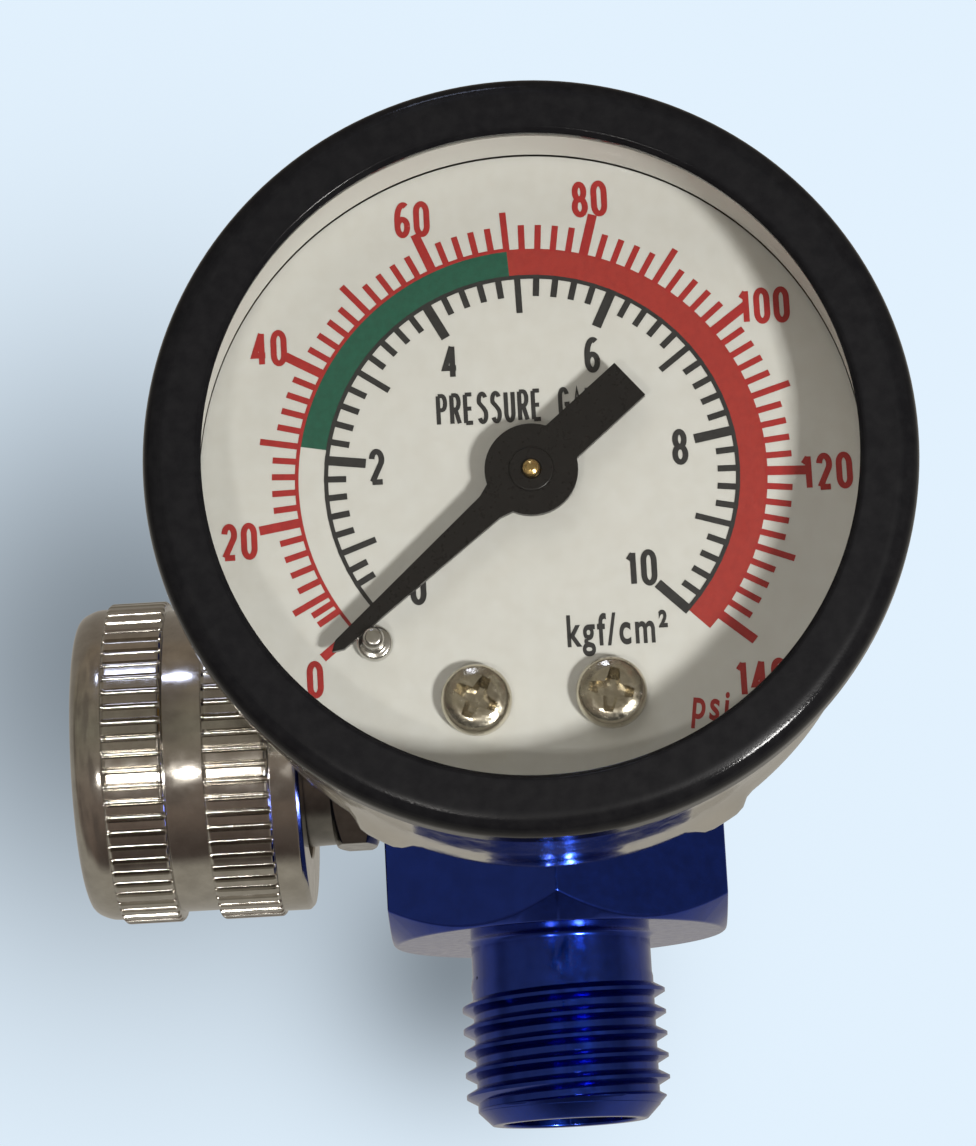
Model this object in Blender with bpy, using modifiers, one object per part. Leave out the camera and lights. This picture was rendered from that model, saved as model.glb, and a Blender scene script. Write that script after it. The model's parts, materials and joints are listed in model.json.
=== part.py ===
"""Air pressure regulator: a small in-line regulator for a spray gun, with a back-mounted gauge.

Air enters through the male thread at the bottom, passes a needle valve that the knob opens and
closes, and leaves through the threaded port at the top. A Bourdon gauge reads the outlet pressure.

Axes: +Z along the flow, towards the outlet. The gauge faces -Y and the knob points to -X.
The origin is the centre of the male thread's end face. Sizes below are in millimetres.
"""
import math

import bmesh
import bpy
from mathutils import Matrix, Vector

MM = 0.001

# Driving dimensions: valve body
HEX_AF = 21.8                  # across the body's flats
HEX_BOTTOM = 11.9              # the hexagon's lower face, above the thread's end
HEX_TOP = 52.0
CHAMFER_FACE_R = 10.7          # radius of the flat ring that the chamfer leaves
CHAMFER_SLOPE = 0.92           # rise per unit of radius
THREAD_MAJOR_R = 6.62          # 1/4-18 straight pipe thread
THREAD_MINOR_R = 5.75
THREAD_PITCH = 1.411
THREAD_TURNS = 6
THREAD_START = 1.2             # above the end face, where the lead chamfer stops
SPIGOT_R = 5.85
END_FACE_R = 5.02
INLET_R = 4.34
INLET_DEPTH = 15.0
OUTLET_R = 5.9                 # female 1/4 port
OUTLET_FLOOR = 41.5
CHAMBER_R = 3.2                # outlet chamber under the port
CHAMBER_FLOOR = 29.6

# Driving dimensions: needle valve, its axis along X
VALVE_Z = 25.08
GLAND_BORE_R = 5.0
GLAND_BORE_END = -6.8
SEAT_BORE_R = 3.4
SEAT_BORE_END = 0.8
GLAND_AF = 12.7
GLAND_CLOCKING = math.radians(3.7)
GLAND_HEX = (-14.35, -11.6)    # the gland's hexagon, from and to
GLAND_NECK_R = 6.25
SPINDLE_BORE_R = 3.15
SPINDLE_R = 2.5
SPINDLE_THREAD_R = 2.9

# Driving dimensions: knob
KNOB_LEFT, KNOB_RIGHT = -30.6, -16.0
KNOB_KNURLS = ((-28.45, -24.6), (-22.05, -17.9))
KNURL_R, KNURL_DEPTH, KNURL_COUNT = 10.58, 0.45, 28
KNOB_END_R, KNOB_GROOVE_R = 10.25, 9.95
KNOB_RECESS_R, KNOB_RECESS_END = 6.9, -20.9
KNOB_BORE_R, KNOB_BORE_END = 2.75, -28.2

# Driving dimensions: gauge. Depths run back from the bezel's front plane.
GAUGE_Z = 35.18
GAUGE_FRONT = -41.5            # the bezel's front plane, along Y
BEZEL_R, BEZEL_LIP_R, BEZEL_SHEET = 22.0, 18.55, 0.55
CASE_R, CASE_SHEET, CASE_BACK = 20.6, 0.5, 24.5
LENS_R, LENS_FRONT, LENS_BACK = 19.8, 1.5, 2.9
LENS_SKIRT_R, LENS_SKIRT_END = 19.3, 6.9
DIAL_R, DIAL_FRONT, DIAL_BACK = 19.3, 7.2, 7.7
ZERO_ANGLE = -130.0            # the pointer at rest, clockwise from straight up, in degrees
STOP_PIN_ANGLE, STOP_PIN_RADIUS = -134.6, 13.4
DIAL_SCREWS = ((-3.87, -13.06), (3.87, -13.06))
CASE_SCREWS = ((-4.0, -10.5), (4.0, -10.5))
SOCKET_FRONT, SOCKET_BACK = 15.2, 23.6
STEM_AF, STEM_R, STEM_END = 11.0, 4.75, 37.0

# Driving dimensions: gauge movement, seen from the front: x to the right, z up from the gauge axis
GEAR_MODULE = 0.2
PINION_TEETH, SECTOR_TEETH = 12, 84
SECTOR_ANGLE = 130.0           # where the sector's pivot lies from the pinion, clockwise from up
SECTOR_ARM = 3.6
PLATE_X, PLATE_Z, PLATE_CORNER = (-6.6, 10.8), (-9.0, 5.6), 2.5
FRONT_PLATE, BACK_PLATE = (9.0, 9.8), (13.6, 14.4)
PILLARS = {"upper": (8.6, 3.6), "lower": (-4.9, -7.3)}
MOVEMENT_SCREWS = {"upper": (4.4, 4.0), "lower": (-4.9, -2.6)}
ARBOR_R, LINK_HALF_WIDTH = 0.6, 0.95
TUBE_R, TUBE_RADIAL, TUBE_AXIAL = 13.5, 1.0, 2.2
TUBE_DEPTH = 12.2
TUBE_ARC = (-135.5, 78.0)
TIP_ANGLE = 100.0

TO_X = (0.0, math.pi / 2, 0.0)          # local +Z onto world +X
TO_Y = (-math.pi / 2, 0.0, 0.0)         # local +Z onto world +Y
FACING_FRONT = (math.pi / 2, 0.0, 0.0)  # local XY onto the front view, local +Z towards the viewer
UPRIGHT = (0.0, 0.0, 0.0)
VALVE_AT = (0.0, 0.0, VALVE_Z)
GAUGE_AT = (0.0, GAUGE_FRONT, GAUGE_Z)

for old in list(bpy.data.objects):
    bpy.data.objects.remove(old, do_unlink=True)

scene = bpy.context.scene
parts = bpy.data.collections.new("air_pressure_regulator")
cutters = bpy.data.collections.new("cutters")
scene.collection.children.link(parts)
scene.collection.children.link(cutters)


# ---------------------------------------------------------------- materials

def material(name, colour, roughness, metallic=0.0, alpha=1.0):
    made = bpy.data.materials.new(name)
    made.use_nodes = True
    shader = made.node_tree.nodes["Principled BSDF"]
    shader.inputs["Base Color"].default_value = (*colour, 1.0)
    shader.inputs["Roughness"].default_value = roughness
    shader.inputs["Metallic"].default_value = metallic
    shader.inputs["Alpha"].default_value = alpha
    return made


BLUE_ANODISED = material("blue_anodised_aluminium", (0.01, 0.03, 0.30), 0.22, 1.0)
NICKEL = material("polished_nickel", (0.62, 0.60, 0.56), 0.15, 1.0)
STEEL = material("bright_steel", (0.66, 0.65, 0.62), 0.25, 1.0)
BRASS = material("brass", (0.72, 0.52, 0.22), 0.30, 1.0)
PHOSPHOR_BRONZE = material("phosphor_bronze", (0.66, 0.38, 0.20), 0.30, 1.0)
BLACK_PAINT = material("black_paint", (0.015, 0.015, 0.016), 0.35)
RUBBER = material("black_rubber", (0.02, 0.02, 0.02), 0.80)
FIBRE = material("dark_fibre", (0.045, 0.040, 0.036), 0.70)
NYLON = material("white_nylon", (0.80, 0.79, 0.75), 0.45)
DIAL_WHITE = material("dial_white", (0.78, 0.77, 0.73), 0.55)
POINTER_BLACK = material("pointer_black", (0.012, 0.012, 0.012), 0.40)
CLEAR = material("clear_lens", (0.92, 0.94, 0.94), 0.05, 0.0, 0.35)


# ---------------------------------------------------------------- helpers

def link(obj, collection=parts, finish=None):
    collection.objects.link(obj)
    if finish:
        obj.data.materials.clear()
        obj.data.materials.append(finish)
    return obj


def as_mesh(obj):
    """The object's evaluated shape as a clean mesh. The object itself is removed."""
    if not obj.users_collection:
        cutters.objects.link(obj)
    bpy.context.view_layer.update()
    evaluated = obj.evaluated_get(bpy.context.evaluated_depsgraph_get())
    mesh = bpy.data.meshes.new_from_object(evaluated)
    bpy.data.objects.remove(obj, do_unlink=True)
    shape = bmesh.new()
    shape.from_mesh(mesh)
    bmesh.ops.remove_doubles(shape, verts=shape.verts, dist=0.002 * MM)
    shape.to_mesh(mesh)
    shape.free()
    return mesh


def place(name, mesh, finish, at=(0, 0, 0), turn=UPRIGHT, smooth=True):
    """A named part. The place is in millimetres. A part with no finish is a cutter."""
    mesh.name = name
    obj = bpy.data.objects.new(name, mesh)
    obj.location = Vector(at) * MM
    obj.rotation_euler = turn
    if smooth:
        mesh.shade_smooth()
        mesh.set_sharp_from_angle(angle=math.radians(32))
    if finish:
        return link(obj, parts, finish)
    obj.hide_render = True
    obj.display_type = "WIRE"
    return link(obj, cutters)


def turned(name, profile, finish, at=(0, 0, 0), turn=UPRIGHT, steps=32, ring=False):
    """A lathe shape about local Z. The profile's (radius, height) points run down its outer side."""
    mesh = bpy.data.meshes.new(name)
    points = [(radius * MM, 0.0, height * MM) for radius, height in profile]
    edges = [(i, i + 1) for i in range(len(points) - 1)]
    if ring:
        edges.append((len(points) - 1, 0))
    mesh.from_pydata(points, edges, [])
    lathe = bpy.data.objects.new(name, mesh)
    screw = lathe.modifiers.new("turn", "SCREW")
    screw.axis = "Z"
    screw.steps = screw.render_steps = steps
    screw.use_merge_vertices = True
    screw.merge_threshold = 0.00001
    return place(name, as_mesh(lathe), finish, at, turn)


def rod(name, radius, low, high, finish, at=(0, 0, 0), turn=UPRIGHT, steps=16, chamfer=0.0):
    """A round bar between two heights on local Z."""
    if chamfer:
        side = [(radius - chamfer, high), (radius, high - chamfer), (radius, low + chamfer),
                (radius - chamfer, low)]
    else:
        side = [(radius, high), (radius, low)]
    return turned(name, [(0, high)] + side + [(0, low)], finish, at, turn, steps)


def washer(name, inner, outer, low, high, finish, at=(0, 0, 0), turn=UPRIGHT, steps=32):
    profile = [(inner, high), (outer, high), (outer, low), (inner, low)]
    return turned(name, profile, finish, at, turn, steps, ring=True)


def hexagon(name, across_flats, low, high, finish, at=(0, 0, 0), turn=UPRIGHT):
    """A hexagonal bar on local Z, with two corners on local Y."""
    shape = bmesh.new()
    radius = across_flats / math.sqrt(3) * MM
    bmesh.ops.create_cone(shape, cap_ends=True, segments=6, radius1=radius, radius2=radius,
                          depth=(high - low) * MM,
                          matrix=Matrix.Translation((0, 0, (high + low) / 2 * MM)))
    mesh = bpy.data.meshes.new(name)
    shape.to_mesh(mesh)
    shape.free()
    return place(name, mesh, finish, at, turn, smooth=False)


def box(name, size, finish, at=(0, 0, 0), turn=UPRIGHT):
    shape = bmesh.new()
    bmesh.ops.create_cube(shape, size=1.0, matrix=Matrix.Diagonal((*[s * MM for s in size], 1.0)))
    mesh = bpy.data.meshes.new(name)
    shape.to_mesh(mesh)
    shape.free()
    return place(name, mesh, finish, at, turn, smooth=False)


def circle(radius, centre=(0, 0), count=16):
    return [(centre[0] + radius * math.cos(2 * math.pi * i / count),
             centre[1] + radius * math.sin(2 * math.pi * i / count)) for i in range(count)]


def sheet(name, outline, low, high, finish, at=(0, 0, 0), turn=UPRIGHT, holes=()):
    """A flat piece cut from plate: a filled 2D curve, extruded between two heights on local Z."""
    curve = bpy.data.curves.new(name, "CURVE")
    curve.dimensions = "2D"
    curve.fill_mode = "BOTH"
    curve.extrude = (high - low) / 2 * MM
    for loop in (outline, *holes):
        spline = curve.splines.new("POLY")
        spline.points.add(len(loop) - 1)
        for point, (x, y) in zip(spline.points, loop):
            point.co = (x * MM, y * MM, 0.0, 1.0)
        spline.use_cyclic_u = True
    mesh = as_mesh(bpy.data.objects.new(name, curve))
    mesh.transform(Matrix.Translation((0, 0, (high + low) / 2 * MM)))
    return place(name, mesh, finish, at, turn, smooth=False)


def wire(name, points, radius, finish, at=(0, 0, 0), turn=UPRIGHT, sides=2, flatten=1.0):
    """A round wire through the points. Flatten stretches its section along local Z."""
    curve = bpy.data.curves.new(name, "CURVE")
    curve.dimensions = "3D"
    curve.bevel_depth = radius * MM
    curve.bevel_resolution = sides
    curve.use_fill_caps = True
    spline = curve.splines.new("POLY")
    spline.points.add(len(points) - 1)
    for point, (x, y, z) in zip(spline.points, points):
        point.co = (x * MM, y * MM, z * MM / flatten, 1.0)
    mesh = as_mesh(bpy.data.objects.new(name, curve))
    mesh.transform(Matrix.Diagonal((1.0, 1.0, flatten, 1.0)))
    return place(name, mesh, finish, at, turn)


def combine(target, tool, operation="DIFFERENCE"):
    """Cut the target with the tool, or join the tool onto it."""
    boolean = target.modifiers.new(tool.name, "BOOLEAN")
    boolean.operation = operation
    boolean.solver = "EXACT"
    boolean.object = tool
    return target


def polar(radius, clockwise):
    """A point in the front view, from its radius and its angle clockwise from straight up."""
    angle = math.radians(clockwise)
    return radius * math.sin(angle), radius * math.cos(angle)


def on_gauge(x, z, depth=0.0):
    """A place in the front view of the gauge, as a world position."""
    return x, GAUGE_FRONT + depth, GAUGE_Z + z


def pivot(name, at, parent=None):
    """An empty on a joint's axis, for the pieces that turn with it."""
    empty = bpy.data.objects.new(name, None)
    empty.empty_display_size = 0.003
    empty.location = Vector(at) * MM
    parts.objects.link(empty)
    if parent:
        hang(empty, parent)
    return empty


def hang(child, parent):
    """Parent a piece without moving it."""
    bpy.context.view_layer.update()
    world = child.matrix_world.copy()
    child.parent = parent
    child.matrix_parent_inverse = parent.matrix_world.inverted()
    child.matrix_world = world


# ---------------------------------------------------------------- valve body

def male_thread():
    """The thread's ridges from the top down, as (radius, height) points."""
    crest, points = THREAD_PITCH * 0.06, []
    for turn in range(THREAD_TURNS, 0, -1):
        middle = THREAD_START + THREAD_PITCH * (turn - 0.5)
        points += [(THREAD_MINOR_R, middle + THREAD_PITCH / 2), (THREAD_MAJOR_R, middle + crest),
                   (THREAD_MAJOR_R, middle - crest)]
    return points


def build_valve_body():
    body = hexagon("valve_body", HEX_AF, HEX_BOTTOM, HEX_TOP, BLUE_ANODISED)

    corner_r = HEX_AF / math.sqrt(3) + 0.5
    rise = (corner_r - CHAMFER_FACE_R) * CHAMFER_SLOPE
    envelope = [(0, HEX_TOP), (CHAMFER_FACE_R, HEX_TOP), (corner_r, HEX_TOP - rise),
                (corner_r, HEX_BOTTOM + rise), (CHAMFER_FACE_R, HEX_BOTTOM), (0, HEX_BOTTOM)]
    combine(body, turned("body_chamfers", envelope, None, steps=36), "INTERSECT")

    root = HEX_BOTTOM + 1.0
    spigot = [(0, root), (SPIGOT_R, root), (SPIGOT_R, HEX_BOTTOM - 2.2)]
    spigot += male_thread() + [(6.15, THREAD_START), (END_FACE_R, 0.0), (0, 0)]
    combine(body, turned("body_spigot", spigot, None), "UNION")

    combine(body, rod("inlet_bore", INLET_R, -1.0, INLET_DEPTH, None, steps=24))
    combine(body, rod("inlet_passage", 1.5, INLET_DEPTH - 1.0, VALVE_Z, None, at=(2.9, 0, 0)))
    valve_bore = [(0, 4.8), (2.2, 4.8), (2.2, SEAT_BORE_END), (SEAT_BORE_R, SEAT_BORE_END),
                  (SEAT_BORE_R, GLAND_BORE_END), (GLAND_BORE_R, GLAND_BORE_END),
                  (GLAND_BORE_R, -HEX_AF), (0, -HEX_AF)]
    combine(body, turned("valve_bore", valve_bore, None, VALVE_AT, TO_X, steps=24))
    combine(body, rod("outlet_passage", 1.4, VALVE_Z, CHAMBER_FLOOR + 1.5, None, at=(-1.7, 0, 0)))
    port = [(0, HEX_TOP + 1.0), (OUTLET_R + 1.8, HEX_TOP + 1.0), (OUTLET_R, HEX_TOP - 0.8),
            (OUTLET_R, OUTLET_FLOOR), (CHAMBER_R, OUTLET_FLOOR), (CHAMBER_R, CHAMBER_FLOOR),
            (0, CHAMBER_FLOOR)]
    combine(body, turned("outlet_port", port, None))
    gauge_port = [(0, 0.0), (1.5, 0.0), (1.5, -4.3), (5.0, -4.3), (5.0, -10.6), (6.1, -10.6),
                  (6.1, -HEX_AF), (0, -HEX_AF)]
    combine(body, turned("gauge_port", gauge_port, None, (0, 0, GAUGE_Z), TO_Y, steps=24))
    return body


# ---------------------------------------------------------------- needle valve and knob

def build_gland():
    left, right = GLAND_HEX
    turn = (Matrix.Rotation(GLAND_CLOCKING, 3, "X") @ Matrix.Rotation(math.pi / 2, 3, "Y")).to_euler()
    gland = hexagon("gland_nut", GLAND_AF, left, right, NICKEL, VALVE_AT, turn)
    stem = [(0, GLAND_BORE_END - 0.2), (4.3, GLAND_BORE_END - 0.2), (4.75, GLAND_BORE_END - 0.7),
            (4.75, right - 0.5), (GLAND_NECK_R, right - 0.5), (GLAND_NECK_R, -18.6),
            (GLAND_NECK_R - 0.4, -19.0), (0, -19.0)]
    combine(gland, turned("gland_stem", stem, None, VALVE_AT, TO_X), "UNION")
    combine(gland, rod("gland_bore", SPINDLE_BORE_R, -20.0, -5.0, None, VALVE_AT, TO_X, steps=24))
    washer("gland_seal", 5.1, 6.0, -11.45, -11.05, FIBRE, VALVE_AT, TO_X)


def build_spindle(knob_axis, seal_axis):
    spindle = [(0, -3.2), (1.5, -3.2), (1.5, -8.0), (SPINDLE_THREAD_R, -8.6), (SPINDLE_THREAD_R, -12.2),
               (SPINDLE_R, -12.6), (SPINDLE_R, -13.4), (2.0, -13.4), (2.0, -15.0), (SPINDLE_R, -15.0),
               (SPINDLE_R, -27.8), (0, -27.8)]
    hang(turned("spindle", spindle, BRASS, VALVE_AT, TO_X, steps=20), knob_axis)
    needle = [(0, -0.9), (0.45, -0.9), (0.58, -1.0), (1.79, -3.1), (0, -3.1)]
    hang(turned("needle_tip", needle, NYLON, VALVE_AT, TO_X, steps=20), knob_axis)

    gap = math.radians(38)
    arc = [gap + (2 * math.pi - 2 * gap) * i / 20 for i in range(21)]
    outline = [(2.8 * math.cos(a), 2.8 * math.sin(a)) for a in arc]
    outline += [(1.65 * math.cos(a), 1.65 * math.sin(a)) for a in reversed(arc)]
    hang(sheet("retaining_clip", outline, -3.95, -3.45, STEEL, VALVE_AT, TO_X), knob_axis)

    section = [(2.56 + 0.42 * math.cos(a), -14.2 + 0.42 * math.sin(a))
               for a in (math.pi / 2 - math.pi * i / 3 for i in range(6))]
    hang(turned("spindle_oring", section, RUBBER, VALVE_AT, TO_X, steps=20, ring=True), seal_axis)
    washer("valve_seat", 1.35, 3.15, -1.0, 0.5, BRASS, VALVE_AT, TO_X, steps=24)


def build_knob(knob_axis):
    core = KNURL_R - KNURL_DEPTH - 0.15
    (a0, a1), (b0, b1) = KNOB_KNURLS
    profile = [(0, KNOB_RIGHT), (KNOB_END_R - 0.3, KNOB_RIGHT), (KNOB_END_R, KNOB_RIGHT - 0.3),
               (KNOB_END_R, b1), (core, b1), (core, b0), (KNOB_GROOVE_R, b0), (KNOB_GROOVE_R, a1),
               (core, a1), (core, a0), (KNOB_END_R, a0), (KNOB_END_R - 0.1, KNOB_LEFT + 1.6),
               (KNOB_END_R - 0.6, KNOB_LEFT + 0.6), (KNOB_END_R - 1.7, KNOB_LEFT), (0, KNOB_LEFT)]
    knob = turned("knob", profile, NICKEL, VALVE_AT, TO_X, steps=28)
    ridges = []
    for i in range(2 * KNURL_COUNT):
        radius = KNURL_R if i % 2 else KNURL_R - KNURL_DEPTH
        angle = math.pi * i / KNURL_COUNT
        ridges.append((radius * math.cos(angle), radius * math.sin(angle)))
    for name, (left, right) in zip(("knurl_outer", "knurl_inner"), KNOB_KNURLS):
        combine(knob, sheet(name, ridges, left + 0.1, right - 0.1, None, VALVE_AT, TO_X), "UNION")
    recess = [(0, 0.0), (KNOB_RECESS_R, 0.0), (KNOB_RECESS_R, KNOB_RECESS_END),
              (KNOB_BORE_R, KNOB_RECESS_END), (KNOB_BORE_R, KNOB_BORE_END), (0, KNOB_BORE_END)]
    combine(knob, turned("knob_recess", recess, None, VALVE_AT, TO_X))
    screw_x = (KNOB_KNURLS[0][1] + KNOB_KNURLS[1][0]) / 2
    screw_at = (screw_x, 0, VALVE_Z)
    combine(knob, rod("set_screw_hole", 1.5, 1.0, 12.0, None, screw_at, TO_Y))
    set_screw = rod("knob_set_screw", 1.3, 2.8, 8.6, STEEL, screw_at, TO_Y, steps=16, chamfer=0.25)
    combine(set_screw, hexagon("set_screw_socket", 1.5, 7.2, 9.5, None, screw_at, TO_Y))
    hang(set_screw, knob_axis)
    hang(knob, knob_axis)


# ---------------------------------------------------------------- gauge housing

def build_bezel():
    bend = [(BEZEL_R - 1.1 + 1.1 * math.sin(a), 1.1 - 1.1 * math.cos(a))
            for a in (math.pi / 2 * i / 3 for i in range(4))]
    profile = [(BEZEL_LIP_R, 0.3), (BEZEL_LIP_R + 0.25, 0.0)] + bend
    profile += [(BEZEL_R, 3.0), (BEZEL_R - 0.75, 5.0)]
    bezel = turned("bezel", profile[::-1], BLACK_PAINT, GAUGE_AT, TO_Y, steps=48)
    shell = bezel.modifiers.new("sheet", "SOLIDIFY")
    shell.thickness = BEZEL_SHEET * MM
    shell.offset = -1.0
    shell.use_even_offset = True


def build_case():
    bend = [(CASE_R - 2.0 + 2.0 * math.sin(a), CASE_BACK - 2.0 + 2.0 * math.cos(a))
            for a in (math.pi / 2 * i / 3 for i in range(4))]
    profile = [(5.3, CASE_BACK)] + bend + [(CASE_R, 2.4), (CASE_R + 0.35, 1.9)]
    case = turned("gauge_case", profile, NICKEL, GAUGE_AT, TO_Y, steps=40)
    shell = case.modifiers.new("sheet", "SOLIDIFY")
    shell.thickness = CASE_SHEET * MM
    shell.offset = -1.0
    for side, (x, z) in zip(("left", "right"), CASE_SCREWS):
        combine(case, rod("case_screw_hole_" + side, 1.2, 22.0, 26.0, None, on_gauge(x, z), TO_Y))
        build_screw("case_screw_" + side, on_gauge(x, z, CASE_BACK + 0.2), 1.9, 1.3, 1.0, 5.5, -1)


def build_screw(name, at, head_r, head_height, shank_r, shank_length, facing):
    """A pan-head screw with a cross recess. Facing 1 points its head to the front, -1 to the back."""
    dome = [(head_r * 0.68, head_height), (head_r, head_height * 0.5), (head_r, 0.0),
            (shank_r, 0.0), (shank_r, -shank_length), (0, -shank_length)]
    turn = (FACING_FRONT[0] * facing, 0.0, 0.0)
    screw = turned(name, [(0, head_height)] + dome, STEEL, at, turn, steps=16)
    wide, narrow, reach = head_r * 0.20, head_r * 0.14, head_r * 0.55
    cross = []
    for quarter in range(4):
        arm = [(wide, wide), (narrow, reach), (-narrow, reach)]
        cross += turned_outline(arm, -90.0 * quarter)
    recess = sheet(name + "_recess", cross, head_height * 0.4, head_height * 1.5, None, at, turn)
    return combine(screw, recess)


def build_lens():
    washer("lens_gasket", 18.9, 19.8, 0.8, 1.25, RUBBER, GAUGE_AT, TO_Y, steps=40)
    profile = [(0, LENS_BACK), (LENS_SKIRT_R, LENS_BACK), (LENS_SKIRT_R, LENS_SKIRT_END),
               (LENS_R, LENS_SKIRT_END), (LENS_R, LENS_FRONT + 0.2), (LENS_R - 0.2, LENS_FRONT),
               (0, LENS_FRONT)]
    turned("lens", profile, CLEAR, GAUGE_AT, TO_Y, steps=40)


def build_dial():
    pin = polar(STOP_PIN_RADIUS, STOP_PIN_ANGLE)
    holes = [circle(1.4), circle(0.7, pin, 12)] + [circle(1.25, at, 12) for at in DIAL_SCREWS]
    sheet("dial_plate", circle(DIAL_R, count=40), -DIAL_BACK, -DIAL_FRONT, DIAL_WHITE,
          GAUGE_AT, FACING_FRONT, holes)
    for side, (x, z) in zip(("left", "right"), DIAL_SCREWS):
        build_screw("dial_screw_" + side, on_gauge(x, z, DIAL_FRONT - 0.1), 2.05, 1.5, 1.0, 5.0, 1)
    profile = [(0, -4.9), (0.47, -4.9), (0.62, -5.1), (0.62, -6.5), (1.05, -6.5), (1.05, -7.1),
               (0.55, -7.1), (0.55, -8.3), (0, -8.3)]
    turned("stop_pin", profile, STEEL, on_gauge(*pin), FACING_FRONT, steps=16)


def build_socket():
    socket = box("gauge_socket", (13.0, SOCKET_BACK - SOCKET_FRONT, 22.0), BRASS,
                 on_gauge(0, -4.5, (SOCKET_FRONT + SOCKET_BACK) / 2))
    for side, (x, z) in zip(("left", "right"), DIAL_SCREWS):
        combine(socket, rod("post_" + side, 2.2, 8.0, SOCKET_FRONT + 1.0, None, on_gauge(x, z), TO_Y),
                "UNION")
    root_angle = -148.0
    x, z = polar(TUBE_R, root_angle)
    lug = box("tube_root", (4.6, SOCKET_FRONT - 9.0, 4.0), None, on_gauge(x, z, SOCKET_FRONT / 2 + 5.5),
              (0.0, math.radians(root_angle), 0.0))
    combine(socket, lug, "UNION")

    neck = [(0, STEM_END), (1.2, STEM_END), (STEM_R - 0.5, STEM_END), (STEM_R, STEM_END - 0.6),
            (STEM_R, SOCKET_BACK - 1.0), (0, SOCKET_BACK - 1.0)]
    combine(socket, turned("stem", neck, None, GAUGE_AT, TO_Y), "UNION")
    combine(socket, hexagon("stem_hex", STEM_AF, 25.0, 28.8, None, GAUGE_AT, TO_Y), "UNION")
    combine(socket, rod("stem_bore", 1.2, 17.5, STEM_END + 1.0, None, GAUGE_AT, TO_Y))

    start, end = Vector((0.0, 18.5, 0.0)), Vector((x, 12.5, z))
    along = end - start
    channel = rod("tube_channel", 0.6, 0.0, along.length + 1.0, None,
                  (start.x, GAUGE_FRONT + start.y, GAUGE_Z + start.z),
                  along.to_track_quat("Z", "Y").to_euler(), steps=10)
    combine(socket, channel)
    for side, (x, z) in zip(("left", "right"), DIAL_SCREWS):
        combine(socket, rod("post_hole_" + side, 1.25, 7.0, 14.0, None, on_gauge(x, z), TO_Y, 12))
    for side, (x, z) in zip(("left", "right"), CASE_SCREWS):
        combine(socket, rod("case_hole_" + side, 1.25, 18.5, 25.0, None, on_gauge(x, z), TO_Y, 12))
    for name, (x, z) in MOVEMENT_SCREWS.items():
        combine(socket, rod("movement_hole_" + name, 0.85, 14.0, 17.8, None, on_gauge(x, z), TO_Y, 10))
    washer("stem_seal", 4.95, 5.9, 29.4, 30.6, FIBRE, GAUGE_AT, TO_Y)


# ---------------------------------------------------------------- gauge movement

def gear_teeth(teeth, first, count):
    """Points of the gear teeth numbered from first, clockwise from straight up, thinned for backlash."""
    pitch_r = GEAR_MODULE * teeth / 2
    root, tip = pitch_r - 1.25 * GEAR_MODULE, pitch_r + 0.9 * GEAR_MODULE
    step = 360.0 / teeth
    points = []
    for number in range(first, first + count):
        middle = number * step
        for radius, width in ((root, 0.30), (pitch_r, 0.21), (tip, 0.09)):
            points.append(polar(radius, middle - width * step))
        for radius, width in ((tip, 0.09), (pitch_r, 0.21), (root, 0.30)):
            points.append(polar(radius, middle + width * step))
    return points


def turned_outline(points, clockwise):
    angle = -math.radians(clockwise)
    return [(x * math.cos(angle) - y * math.sin(angle), x * math.sin(angle) + y * math.cos(angle))
            for x, y in points]


def rounded_rectangle(x_range, z_range, corner, steps=4):
    (x0, x1), (z0, z1) = x_range, z_range
    points = []
    for cx, cz, start in ((x1, z1, 0), (x0, z1, 90), (x0, z0, 180), (x1, z0, 270)):
        inset_x = cx - math.copysign(corner, cx - (x0 + x1) / 2)
        inset_z = cz - math.copysign(corner, cz - (z0 + z1) / 2)
        for i in range(steps + 1):
            angle = math.radians(start + 90 * i / steps)
            points.append((inset_x + corner * math.cos(angle), inset_z + corner * math.sin(angle)))
    return points


GEAR_DISTANCE = GEAR_MODULE * (PINION_TEETH + SECTOR_TEETH) / 2
SECTOR_AT = polar(GEAR_DISTANCE, SECTOR_ANGLE)
ARM_OFFSET = polar(SECTOR_ARM, 125.0)
SECTOR_PIN_AT = (SECTOR_AT[0] + ARM_OFFSET[0], SECTOR_AT[1] + ARM_OFFSET[1])
TIP_AT = polar(TUBE_R, TIP_ANGLE)


def build_movement_frame():
    holes = [circle(0.75, at, 12) for at in ((0, 0), SECTOR_AT)]
    outline = rounded_rectangle(PLATE_X, PLATE_Z, PLATE_CORNER)
    pillar_holes = [circle(0.55, at, 12) for at in PILLARS.values()]
    screw_holes = [circle(0.9, at, 12) for at in MOVEMENT_SCREWS.values()]
    for name, (front, back), extra in (("movement_front_plate", FRONT_PLATE, []),
                                       ("movement_back_plate", BACK_PLATE, screw_holes)):
        sheet(name, outline, -back, -front, BRASS, GAUGE_AT, FACING_FRONT, holes + pillar_holes + extra)
    for name, (x, z) in PILLARS.items():
        profile = [(0, 14.3), (0.4, 14.3), (0.4, 13.4), (0.9, 13.4), (0.9, 10.0), (0.4, 10.0),
                   (0.4, 9.1), (0, 9.1)]
        turned("movement_pillar_" + name, profile, BRASS, on_gauge(x, z), TO_Y, steps=14)
    for name, (x, z) in MOVEMENT_SCREWS.items():
        build_screw("movement_screw_" + name, on_gauge(x, z, 13.45), 1.3, 0.6, 0.7, 3.6, 1)


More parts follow.
